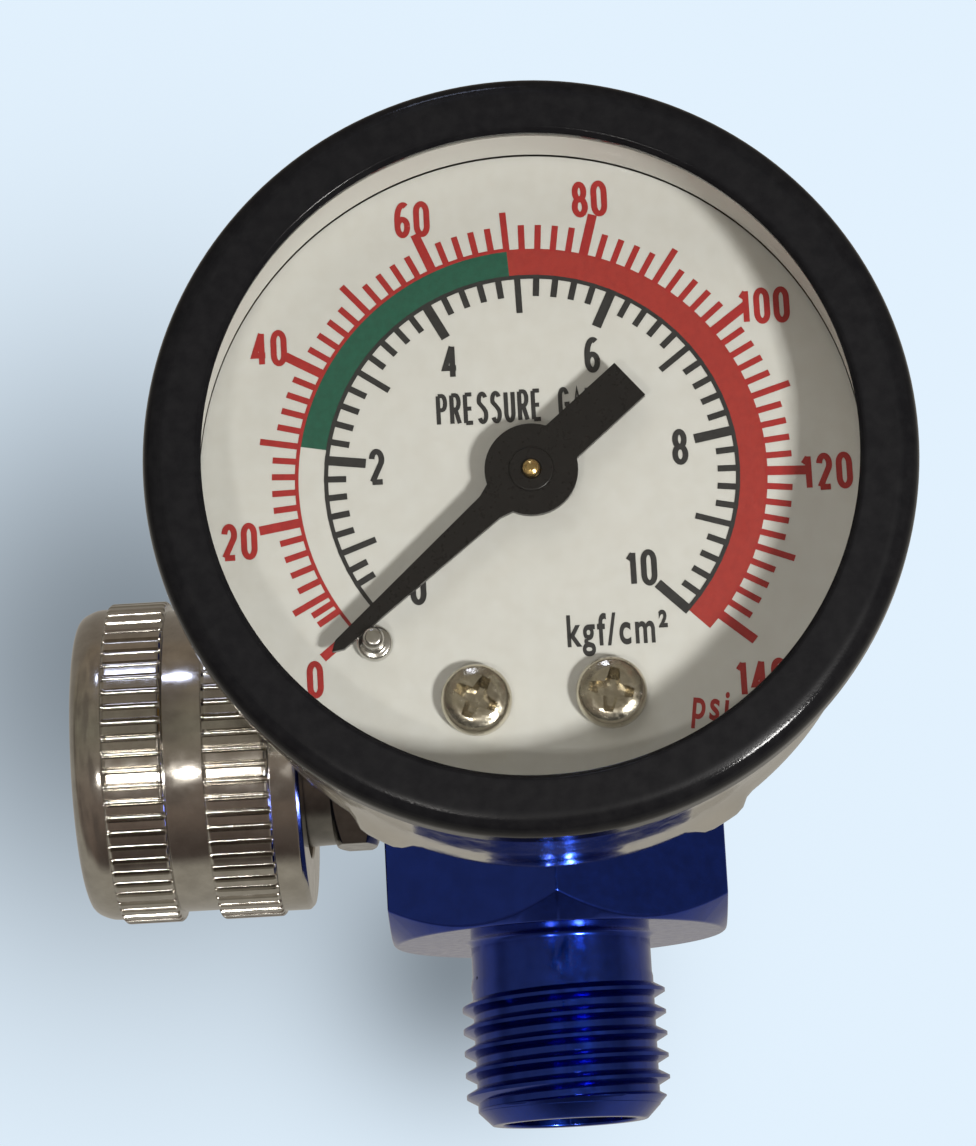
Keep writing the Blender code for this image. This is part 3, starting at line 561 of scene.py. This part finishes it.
def build_gland():
    """The gland nut: a chamfered hexagon, a neck towards the knob and a threaded stem in the body."""
    angles, reach = hexagon_columns(GLAND_AF, 0.12, math.radians(30.0 - GLAND_TURN))
    face_r, edge = 6.15, 0.08
    drop = (reach - face_r) * 0.5
    bore_r, stem_r = 3.15, 4.75
    neck_end, flats_left, flats_right, stem_end = -19.0, -14.35, -11.6, -7.0
    profile = [(bore_r, neck_end), (5.95, neck_end, 0.1), (6.25, neck_end + 0.3, 0.1),
               (6.1, flats_left, 0.1), (face_r, flats_left, edge), (reach, flats_left + drop, edge),
               (reach, flats_right - drop, edge), (face_r, flats_right, edge), (stem_r, flats_right),
               (stem_r, stem_end - 0.5), (4.3, stem_end), (bore_r, stem_end)]
    return wrapped_mesh(about_valve, angles, rounded(profile), ring=True)


def build_knob():
    """The knob: two straight-knurled bands between plain turned ones, and a recess for the gland."""
    count, groove_depth = 64, 0.36
    angles = even(count * 12)
    bands = ((-28.45, -24.6), (-22.05, -17.9))
    knob_left, knob_right, recess_floor, bore_floor = -30.6, -16.0, -20.9, -28.2
    knurl_r, groove_r, end_r, recess_r, bore_r = 10.58, 9.95, 10.25, 6.9, 2.75
    profile = [(0, knob_left), (9.0, knob_left, 0.2), (9.75, -30.35, 0.5), (10.2, -29.4, 0.7),
               (end_r, -28.8, 0.15)]
    for left, right in bands:
        inner = groove_r if left > bands[0][0] else end_r
        profile += [(inner, left - 0.02, 0.06), (knurl_r - 0.14, left + 0.02, 0.05),
                    (knurl_r, left + 0.2, 0.08)]
        profile += [(knurl_r, h) for h in np.linspace(left + 0.45, right - 0.45, 9)]
        outer = groove_r if right < bands[1][1] else end_r
        profile += [(knurl_r, right - 0.2, 0.08), (knurl_r - 0.14, right - 0.02, 0.05),
                    (outer, right + 0.02, 0.06)]
    profile += [(end_r, knob_right - 0.3, 0.1), (end_r - 0.3, knob_right, 0.1),
                (recess_r, knob_right, 0.15), (recess_r, recess_floor), (bore_r, recess_floor),
                (bore_r, bore_floor), (0, bore_floor)]
    rows = np.repeat(rounded(profile), len(angles), axis=1)
    heights, radii = rows[..., 1], rows[..., 0]
    wave = np.clip((np.cos(count * angles) - 0.05) / 0.62, 0.0, 1.0)
    for left, right in bands:
        inside = np.minimum(heights - left, right - heights)
        fade = np.clip(inside / 0.28 + 0.25, 0.0, 1.0) * (inside > -0.001)
        radii -= groove_depth * wave[None, :] * fade * (radii > knurl_r - 0.3)
    screw_x = (bands[0][1] + bands[1][0]) / 2
    screw_hole = turned([(0, 1.0), (1.5, 1.0), (1.5, 12.0), (0, 12.0)],
                        lambda a, r, h: (screw_x + r * np.sin(a), h + 0 * a, VALVE_Z + r * np.cos(a)), 32)
    return cut(wrapped_mesh(about_valve, angles, rows), screw_hole)


# The gland wears the darker nickel, whose colour is painted shade.
add_piece("gland", build_gland(), NICKEL_WITH_PAINTED_SHADE, "root", ["gland_nut"])
add_piece("adjusting_knob", build_knob(), NICKEL, "knob_and_spindle", ["knob"], sharp=50.0)


# ---------------------------------------------------------------- gauge housing

def build_bezel():
    """The rolled front ring."""
    profile = [(18.6, 0.75), (18.55, 0.32, 0.05), (18.80, 0.0, 0.12), (20.75, 0.0, 0.15),
               (21.62, 0.22, 0.45), (21.95, 1.0, 0.45), (22.0, 3.0, 0.5), (21.3, 4.9, 0.1),
               (20.95, 4.9, 0.05), (21.45, 3.0, 0.4), (21.4, 1.1, 0.3), (20.9, 0.6, 0.3),
               (18.75, 0.72)]
    return turned(profile, about_gauge, 192, ring=True)


def build_case():
    """The case with a slightly swollen rear edge, where two lips stand out."""
    profile = [(5.3, 24.0), (5.3, 24.5, 0.08), (18.8, 24.5, 0.8), (20.5, 23.9, 0.7), (20.95, 22.6, 0.6),
               (20.85, 21.2, 0.6)]
    profile += [(20.6, h) for h in np.linspace(19.5, 3.0, 12)]
    profile += [(20.95, 1.9), (20.45, 1.9), (20.1, 2.6), (20.1, 22.3, 0.5), (19.8, 23.5, 0.6),
                (18.4, 24.0, 0.5)]
    rows = np.repeat(rounded(profile), 240, axis=1)
    angles = even(240)
    lip_rise, lip_half_width, lip_depth, lip_half_depth = 0.6, 5.0, 22.2, 1.4
    for lip_angle in (-29.0, 29.5):
        away = np.degrees(angles) - 180.0 - lip_angle
        swell = (np.exp(-(away / lip_half_width) ** 6)[None, :]
                 * np.exp(-((rows[..., 1] - lip_depth) / lip_half_depth) ** 2))
        rows[..., 0] += lip_rise * swell * (rows[..., 0] > 20.3)
    return wrapped_mesh(about_gauge, angles, rows, ring=True)


def build_lens():
    """The window with its skirt."""
    profile = [(0, 1.5), (19.6, 1.5, 0.1), (19.8, 1.7, 0.1), (19.8, 6.9, 0.1), (19.3, 6.9, 0.1),
               (19.3, 2.9, 0.2), (0, 2.9)]
    return turned(profile, about_gauge, 160)


add_piece("gauge_bezel", build_bezel(), BEZEL_BLACK, "root", ["bezel"], sharp=60.0)
add_piece("case_shell", build_case(), CASE_METAL, "root", ["gauge_case"], sharp=60.0)
add_piece("window", build_lens(), CLEAR, "root", ["lens"])


# ---------------------------------------------------------------- dial and its print

def circle(radius, centre=(0.0, 0.0), count=24):
    """Points (x, z) on a circle."""
    return [(centre[0] + radius * math.sin(a), centre[1] + radius * math.cos(a)) for a in even(count)]


def arc_band(inner, outer, start, end, lift):
    """A flat ring segment on the dial, between two clockwise angles in degrees."""
    count = max(2, int(abs(end - start) / 1.5))
    angles = np.linspace(start, end, count + 1)
    outline = [polar(outer, a) for a in angles] + [polar(inner, a) for a in reversed(angles)]
    return print_mesh([outline], lift)


def print_mesh(outlines, lift):
    """Flat shapes printed on the dial as strips of quads, stepped so that none share a plane."""
    shape = bmesh.new()
    for index, outline in enumerate(outlines):
        depth = (GAUGE_FRONT + DIAL_FRONT - lift - index % 5 * 0.0015) * MM
        corners = [shape.verts.new((x * MM, depth, (GAUGE_Z + z) * MM)) for x, z in outline]
        half = len(corners) // 2
        for i in range(half - 1):
            shape.faces.new((corners[i], corners[i + 1], corners[-2 - i], corners[-1 - i]))
    for face in shape.faces:
        face.normal_update()
        if face.normal.y > 0:
            face.normal_flip()
    mesh = bpy.data.meshes.new("print")
    shape.to_mesh(mesh)
    shape.free()
    return mesh


def tick(angle, start, end, width):
    """One tick as a four-cornered outline, between two radii."""
    return spun([(-width / 2, start), (-width / 2, end), (width / 2, end), (width / 2, start)], angle)


def bow(x, y, wide, high, start, end, count=14):
    """Points on an ellipse, at angles counted anticlockwise from the right, in degrees."""
    angles = np.radians(np.linspace(start, end, count))
    return [(x + wide * math.cos(a), y + high * math.sin(a)) for a in angles]


def glyphs():
    """Condensed characters as centre lines, in a box that reaches from -1 to 1 both ways."""
    bowl = [(-1, 1)] + bow(0.1, 0.5, 0.9, 0.5, 90, -90, 9) + [(-1, 0)]
    stem, base = [(-1, -1), (-1, 1)], [(-1, -1), (1, -1)]
    return {
        "0": [bow(0, 0.45, 1, 0.55, 0, 180) + bow(0, -0.45, 1, 0.55, 180, 360) + [(1, 0.45)]],
        "1": [[(0.2, -1), (0.2, 1)], [(0.2, 0.95), (-0.7, 0.55)]],
        "2": [bow(0, 0.48, 0.95, 0.52, 175, -25) + [(-0.95, -0.97)], base],
        "4": [[(0.45, -1), (0.45, 1)], [(0.45, 1), (-1.05, -0.42), (1.15, -0.42)]],
        "6": [bow(0.25, 0.0, 1.2, 1.0, 62, 180) + bow(0, -0.42, 0.95, 0.58, 180, 360),
              bow(0, -0.42, 0.95, 0.46, 0, 170, 12)],
        "8": [bow(0, 0.5, 0.85, 0.5, -90, 270, 20), bow(0, -0.48, 1, 0.52, -90, 270, 20)],
        "P": [stem, bowl], "R": [stem, bowl, [(0.0, 0), (1.05, -1)]],
        "E": [stem, [(-1, 1), (0.9, 1)], [(-1, 0), (0.7, 0)], base],
        "S": [bow(0, 0.52, 0.95, 0.48, 25, 200) + [(0.3, -0.02)] + bow(0, -0.5, 0.95, 0.5, 30, -155)],
        "U": [[(-1, 1)] + bow(0, -0.45, 1, 0.55, 180, 360) + [(1, 1)]],
        "G": [bow(0, 0.45, 1, 0.55, 20, 180) + bow(0, -0.45, 1, 0.55, 180, 360)
              + [(1, -0.05), (0.15, -0.05)]],
        "A": [[(-1.1, -1), (0, 1), (1.1, -1)], [(-0.75, -0.35), (0.75, -0.35)]],
        " ": [],
    }


def ribbon(points, width):
    """A line of points given one width, mitred at its corners, as one strip outline."""
    path = np.array(points)
    steps = np.diff(path, axis=0)
    steps = steps / np.linalg.norm(steps, axis=1)[:, None]
    before, after = np.vstack([steps[:1], steps]), np.vstack([steps, steps[-1:]])
    if np.allclose(path[0], path[-1]):
        before[0], after[-1] = steps[-1], steps[0]
    mean = before + after
    mean = mean / np.linalg.norm(mean, axis=1)[:, None]
    reach = width / 2 / np.maximum((mean * after).sum(axis=1), 0.6)
    aside = np.stack([-mean[:, 1], mean[:, 0]], axis=1) * reach[:, None]
    return [*(path + aside), *(path - aside)[::-1]]


def stencil(text, x, z, size, pitch, thick, lift):
    """Characters drawn with ribbons, centred on a place on the dial, for a (width, height) size."""
    shapes, outlines = glyphs(), []
    half_wide, half_high = (size[0] - thick) / 2, (size[1] - thick) / 2
    advance = [pitch * (0.72 if mark == "1" else 1.0) for mark in text]
    across = x - sum(advance) / 2
    for mark, step in zip(text, advance):
        across += step / 2
        for line in shapes[mark]:
            placed = [(across + half_wide * px, z + half_high * pz) for px, pz in line]
            outlines.append(ribbon(placed, thick))
        across += step / 2
    return print_mesh(outlines, lift)


def lettering(text, x, z, height, lift, condense, weight, turn=0.0):
    """Text centred on a place on the dial. The font's capitals are about 0.7 of its size."""
    curve = bpy.data.curves.new("text", "FONT")
    curve.body = text
    curve.size = height / 0.70 * MM
    curve.align_x = "CENTER"
    curve.align_y = "CENTER"
    curve.offset = weight * MM
    curve.space_character = 1.22
    mesh = stood_up(curve, DIAL_FRONT - lift)
    centre = Vector((0, 0, GAUGE_Z * MM))
    shape = (Matrix.Translation(Vector((x, 0, z)) * MM) @ Matrix.Translation(centre)
             @ Matrix.Rotation(math.radians(turn), 4, "Y") @ Matrix.Diagonal((condense, 1, 1, 1))
             @ Matrix.Translation(-centre))
    mesh.transform(shape)
    return mesh


def psi_angle(psi):
    """The psi scale: even from 10 upwards, and pressed together below it."""
    if psi < 10:
        return ZERO_ANGLE + (psi_angle(10) - ZERO_ANGLE) * (psi / 10.0) ** 1.15
    return EVEN_SCALE_START + DEGREES_PER_PSI * psi


def kgf_angle(value):
    """The kgf/cm² scale, which is even wherever the psi one is."""
    return psi_angle(PSI_PER_KGF * value)


def build_print():
    """Scales, bands, numerals and words, in layers about a hundredth of a millimetre apart."""
    outer, inner, line = 13.65, 12.02, 0.01
    red, black = [], []
    for psi in range(0, 141, 2):
        if psi % 20 == 0:
            length, width = 2.45, 0.54
        elif psi % 10 == 0:
            length, width = 2.3, 0.38
        else:
            length, width = 1.45, 0.37
        if psi in (2, 4):
            continue
        red.append(tick(psi_angle(psi), outer - 0.1, outer + length, width))
    for step in range(0, 51):
        value = step / 5
        if step % 10 == 0:
            length, width = 2.35, 0.56
        elif step % 5 == 0:
            length, width = 2.25, 0.36
        else:
            length, width = 1.25, 0.37
        if 0 < value < 0.55:
            continue
        black.append(tick(kgf_angle(value), inner + 0.05, inner - length, width))
    start, end = psi_angle(0), kgf_angle(10)
    add_piece("dial_band_green", arc_band(inner, outer, psi_angle(30), psi_angle(70), line), BAND_GREEN,
              "root")
    add_piece("dial_band_red", arc_band(inner, outer, psi_angle(70), end, line), BAND_RED, "root")
    red_print = [print_mesh(red, 2 * line),
                 arc_band(outer - 0.10, outer + 0.11, start, psi_angle(70), 2.8 * line)]
    inwards = 0.985
    for text, x, z in (("0", -13.27, -11.46), ("20", -17.38, -2.99), ("40", -15.16, 8.62),
                       ("60", -6.31, 16.06), ("80", 4.33, 16.7), ("100", 14.33, 9.52),
                       ("120", 17.35, -0.74), ("140", 12.75, -12.8)):
        red_print.append(stencil(text, x * inwards, z * inwards, (0.95, 2.2), 1.14, 0.35, 3 * line))
    red_print.append(lettering("psi", 9.5, -14.1, 1.75, 2 * line, 0.66, 0.05, 8.0))
    add_piece("dial_print_red", joined(red_print), PRINT_RED, "root")
    black_print = [print_mesh(black, 3 * line),
                   arc_band(inner - 0.20, inner + 0.04, kgf_angle(0) - 2.0, end, 3.8 * line)]
    for text, x, z in (("0", -6.9, -6.2), ("2", -8.95, 1.04), ("4", -4.4, 7.07), ("6", 3.9, 7.0),
                       ("8", 8.67, 1.2), ("10", 6.05, -5.82)):
        black_print.append(stencil(text, x, z, (0.93, 2.15), 1.12, 0.33, 4 * line))
    black_print.append(stencil("PRESSURE GAUGE", 0.12, 4.2, (0.66, 1.95), 0.79, 0.25, 3 * line))
    black_print.append(lettering("kgf/cm²", 4.4, -9.4, 1.80, 3 * line, 0.63, 0.06))
    add_piece("dial_print_black", joined(black_print), PRINT_BLACK, "root")


pin_at = polar(STOP_PIN_RADIUS, STOP_PIN_ANGLE)
dial_holes = [circle(1.4), circle(0.7, pin_at)] + [circle(1.25, at) for at in DIAL_SCREWS.values()]
dial_mesh = flat_mesh(circle(19.3, count=160), DIAL_FRONT, DIAL_BACK, dial_holes)
add_piece("dial_face", dial_mesh, DIAL_WHITE, "root", ["dial_plate"])
build_print()


# ---------------------------------------------------------------- screws, stop pin and pointer

def cross_recess(x, z, depth, head_r, head_height, facing, clocking):
    """A tapered cross for a screw's recess, as a mesh to cut with."""
    wide, narrow, reach = head_r * 0.20, head_r * 0.13, head_r * 0.62
    corners = []
    for quarter in range(4):
        corners += spun([(-narrow, reach), (narrow, reach), (wide, wide)], 90.0 * quarter + clocking)
    shape = bmesh.new()
    rings = []
    for height, scale in ((head_height * 0.25, 0.60), (head_height * 1.2, 1.15)):
        y = (GAUGE_FRONT + depth + facing * height) * MM
        rings.append([shape.verts.new(((x + cx * scale) * MM, y, (GAUGE_Z + z + cz * scale) * MM))
                      for cx, cz in corners])
    for i in range(len(corners)):
        j = (i + 1) % len(corners)
        shape.faces.new((rings[0][i], rings[0][j], rings[1][j], rings[1][i]))
    shape.faces.new(rings[0])
    shape.faces.new(list(reversed(rings[1])))
    bmesh.ops.recalc_face_normals(shape, faces=shape.faces)
    mesh = bpy.data.meshes.new("recess")
    shape.to_mesh(mesh)
    shape.free()
    return mesh


def screw(node, at, depth, head, shank, facing, finish, clocking):
    """A domed screw in place of a CAD one. Head and shank are (radius, length)."""
    (head_r, head_height), (shank_r, shank_length) = head, shank
    profile = [(0, head_height), (head_r * 0.62, head_height * 0.98, 0.2),
               (head_r * 0.94, head_height * 0.78, 0.25), (head_r, head_height * 0.45, 0.15),
               (head_r, 0.0, 0.1), (shank_r, 0.0), (shank_r, -shank_length), (0, -shank_length)]
    mesh = turned(profile, about(*at, depth, facing), 48)
    recess = cross_recess(*at, depth, head_r, head_height, facing, clocking)
    add_piece(node + "_head", cut(mesh, recess), finish, "root", [node], sharp=35.0)


for side, at in DIAL_SCREWS.items():
    screw("dial_screw_" + side, at, depth=DIAL_FRONT - 0.05, head=(2.05, 1.5), shank=(1.0, 5.0),
          facing=-1.0, finish=SCREW_STEEL, clocking=31.0 if side == "left" else 12.0)
for side, at in CASE_SCREWS.items():
    screw("case_screw_" + side, at, depth=24.7, head=(1.9, 1.3), shank=(1.0, 5.5), facing=1.0,
          finish=STEEL, clocking=40.0)
for side, at in MOVEMENT_SCREWS.items():
    screw("movement_screw_" + side, at, depth=13.45, head=(1.3, 0.6), shank=(0.7, 3.6), facing=-1.0,
          finish=STEEL, clocking=20.0)

pin_profile = [(0, 2.3), (0.42, 2.3, 0.12), (0.62, 2.1, 0.1), (0.62, 0.75, 0.1), (0.95, 0.7, 0.1),
               (1.05, 0.5, 0.1), (1.05, 0.1, 0.05), (0.55, 0.1), (0.55, -1.1), (0, -1.1)]
add_piece("stop_pin_turned", turned(pin_profile, about(*pin_at, DIAL_FRONT), 48), STEEL, "root",
          ["stop_pin"])


def build_pointer():
    """The pointer: a stamped sheet with a round hub, a slim needle and a broad tail."""
    half_tail, tail_end, hub = 1.3, 7.8, 2.7
    tail_start = -math.sqrt(hub ** 2 - half_tail ** 2)
    arc_from = math.degrees(math.atan2(half_tail, tail_start))
    side = [polar(hub, a) for a in np.linspace(arc_from, 24.0, 18)] + [(0.85, 3.25), (0.36, 15.0)]
    outline = [(-half_tail, -tail_end), (half_tail, -tail_end), *side, (0.0, 15.6)]
    outline += [(-x, z) for x, z in reversed(side)]
    return flat_mesh(spun(outline, POINTER_REST), POINTER_FRONT, POINTER_BACK, [circle(0.6)])


pointer = add_piece("pointer_sheet", build_pointer(), POINTER_BLACK, "pointer_and_pinion",
                    ["pointer"])
soften = pointer.modifiers.new("stamped_edges", "BEVEL")
soften.width = 0.07 * MM
soften.segments = 2
soften.limit_method = "ANGLE"
soften.angle_limit = math.radians(50)
arbor_profile = [(0, 0.42), (0.20, 0.42, 0.04), (0.48, 0.30, 0.1), (0.56, 0.05, 0.1), (0.56, -0.3),
                 (0, -0.3)]
add_piece("arbor_end", turned(arbor_profile, about(0, 0, 5.3), 32), BRASS, "pointer_and_pinion")
hub_profile = [(0.6, 0.0), (1.35, 0.0, 0.05), (1.25, 0.12, 0.05), (0.6, 0.12)]
hub_ring = turned(hub_profile, about(0, 0, POINTER_FRONT), 48, ring=True)
add_piece("pointer_hub_ring", hub_ring, POINTER_BLACK, "pointer_and_pinion")


# ---------------------------------------------------------------- CAD pieces that keep their shape

FINISHES = {
    "steel": STEEL, "brass": BRASS, "phosphor_bronze": BRONZE, "rubber": RUBBER, "dark_fibre": FIBRE,
    "white_nylon": NYLON, "nickel": NICKEL, "blue_anodised": BLUE, "black_paint": BEZEL_BLACK,
    "dial_white": DIAL_WHITE, "pointer_black": POINTER_BLACK, "clear_lens": CLEAR,
}
for subpart in frame["record"]["subparts"]:
    node = nodes[subpart["node"]]
    for material_slot in node.material_slots:
        material_slot.material = FINISHES[subpart["material_slot"]]


# ---------------------------------------------------------------- stage, light and camera

OBJECT_MIDDLE = Vector((0.0, -20.0, 28.0)) * MM


def build_floor():
    """A pale floor far below, which neither shows in the pieces' reflections nor lights them."""
    shape = bmesh.new()
    bmesh.ops.create_grid(shape, x_segments=8, y_segments=8, size=3.0)
    mesh = bpy.data.meshes.new("floor")
    shape.to_mesh(mesh)
    shape.free()
    floor = bpy.data.objects.new("floor", mesh)
    floor.location.z = -0.25
    pale = material("pale_floor", (0.62, 0.66, 0.70), (0.60, 0.645, 0.685), 0.0, (0.6, 0.7), 3.0,
                    (40.0, 0.05, 0.0005))
    shader = pale.node_tree.nodes["Principled BSDF"]
    shader.inputs["Emission Color"].default_value = (0.76, 0.88, 0.99, 1.0)
    shader.inputs["Emission Strength"].default_value = 0.42
    mesh.materials.append(pale)
    floor.visible_glossy = False
    floor.visible_diffuse = False
    bpy.context.scene.collection.objects.link(floor)


def direction(azimuth, elevation):
    """A unit vector away from the object. Azimuth 0 is towards -Y, and grows towards +X."""
    a, e = math.radians(azimuth), math.radians(elevation)
    return Vector((math.sin(a) * math.cos(e), -math.cos(a) * math.cos(e), math.sin(e)))


def area_light(name, azimuth, elevation, distance, size, power, colour, mirrored=True):
    """A rectangular light that faces the object, with its distance and size in metres."""
    lamp = bpy.data.lights.new(name, "AREA")
    lamp.shape = "RECTANGLE"
    lamp.size, lamp.size_y = size
    lamp.energy = power
    lamp.color = colour
    holder = bpy.data.objects.new(name, lamp)
    away = direction(azimuth, elevation)
    holder.location = OBJECT_MIDDLE + away * distance
    holder.rotation_euler = away.to_track_quat("Z", "Y").to_euler()
    holder.visible_camera = False
    holder.visible_glossy = mirrored
    bpy.context.scene.collection.objects.link(holder)


def build_world():
    """A pale backdrop with a soft shadow for the camera, and a warm grey room for everything else."""
    world = bpy.data.worlds.new("studio")
    bpy.context.scene.world = world
    world.use_nodes = True
    tree = Nodes(world.node_tree)
    background = world.node_tree.nodes["Background"]
    coordinates = tree.add("TexCoord")
    split = tree.add("SeparateXYZ")
    tree.join(coordinates.outputs["Generated"], split.inputs[0])

    def glow(centre, spread):
        """1 at a direction, falling off smoothly to 0 with the sine of the angle from it."""
        offset = tree.add("VectorMath", operation="SUBTRACT")
        offset.inputs[1].default_value = centre
        tree.join(coordinates.outputs["Generated"], offset.inputs[0])
        length = tree.add("VectorMath", operation="LENGTH")
        tree.join(offset.outputs[0], length.inputs[0])
        ratio = tree.maths("DIVIDE", length.outputs["Value"], spread)
        return tree.maths("POWER", math.e, tree.maths("MULTIPLY", -1.0, tree.maths("POWER", ratio, 2.0)))

    pale, dusk = (0.76, 0.88, 0.99), (0.16, 0.19, 0.22)
    shadow = glow((-0.108, 0.978, 0.180), 0.078)
    foot_shadow = glow((-0.030, 0.992, 0.102), 0.034)
    seen = tree.mix(tree.maths("MULTIPLY", shadow, 0.92), pale, dusk)
    seen = tree.mix(tree.maths("MULTIPLY", foot_shadow, 0.90), seen, dusk)

    height = tree.remap(split.outputs["Z"], -1.0, 1.0, 0.0, 1.0)
    front = tree.ramp(height, ((0.0, (0.10, 0.08, 0.07)), (0.12, (0.24, 0.19, 0.16)),
                               (0.35, (0.31, 0.26, 0.22)), (0.65, (0.33, 0.31, 0.25)),
                               (1.0, (0.33, 0.27, 0.21))))
    back = tree.ramp(height, ((0.0, (0.50, 0.47, 0.41)), (0.5, (0.42, 0.40, 0.36)),
                              (0.75, (0.33, 0.30, 0.26)), (1.0, (0.30, 0.26, 0.22))))
    blotches = tree.add("TexNoise")
    blotches.inputs["Scale"].default_value = 2.6
    tree.join(coordinates.outputs["Generated"], blotches.inputs["Vector"])
    front = tree.mix(tree.remap(blotches.outputs["Fac"], 0.45, 0.60, 0.0, 0.6), front, (0.13, 0.11, 0.10))
    around = tree.mix(tree.remap(split.outputs["Y"], -0.05, 0.15, 0.0, 1.0), front, back)
    path = tree.add("LightPath")
    tree.join(tree.mix(path.outputs["Is Camera Ray"], around, seen), background.inputs["Color"])
    background.inputs["Strength"].default_value = 1.0


def build_camera():
    """The camera looks up at the object, a little to its left, with its top leaning left."""
    lens = bpy.data.cameras.new("camera")
    camera = bpy.data.objects.new("camera", lens)
    lens.lens = 123.5
    lens.clip_start = 0.01
    lens.clip_end = 20.0
    place = Vector((1.157, -256.588, -15.70)) * MM
    azimuth, elevation, roll = (math.radians(a) for a in (-1.029, 11.511, -3.033))
    forward = Vector((math.sin(azimuth) * math.cos(elevation), math.cos(azimuth) * math.cos(elevation),
                      math.sin(elevation)))
    right = forward.cross(Vector((0, 0, 1))).normalized()
    up = right.cross(forward)
    across = right * math.cos(roll) + up * math.sin(roll)
    upward = up * math.cos(roll) - right * math.sin(roll)
    facing = Matrix((across, upward, -forward)).transposed().to_4x4()
    camera.matrix_world = Matrix.Translation(place) @ facing
    bpy.context.scene.collection.objects.link(camera)
    bpy.context.scene.camera = camera


build_floor()
build_world()
area_light("key", 27.0, -21.0, 0.36, (0.042, 0.042), 1.3, (1.0, 0.985, 0.96))
area_light("window", -12.0, 58.0, 0.60, (0.10, 0.045), 0.26, (0.62, 0.70, 1.0))
area_light("lamp", -12.0, -19.0, 0.36, (0.030, 0.020), 0.22, (1.0, 0.97, 0.92))
area_light("ceiling", -20.0, 40.0, 0.90, (0.60, 0.50), 2.2, (1.0, 0.98, 0.95), mirrored=False)
build_camera()
bpy.context.scene.view_settings.view_transform = "Standard"
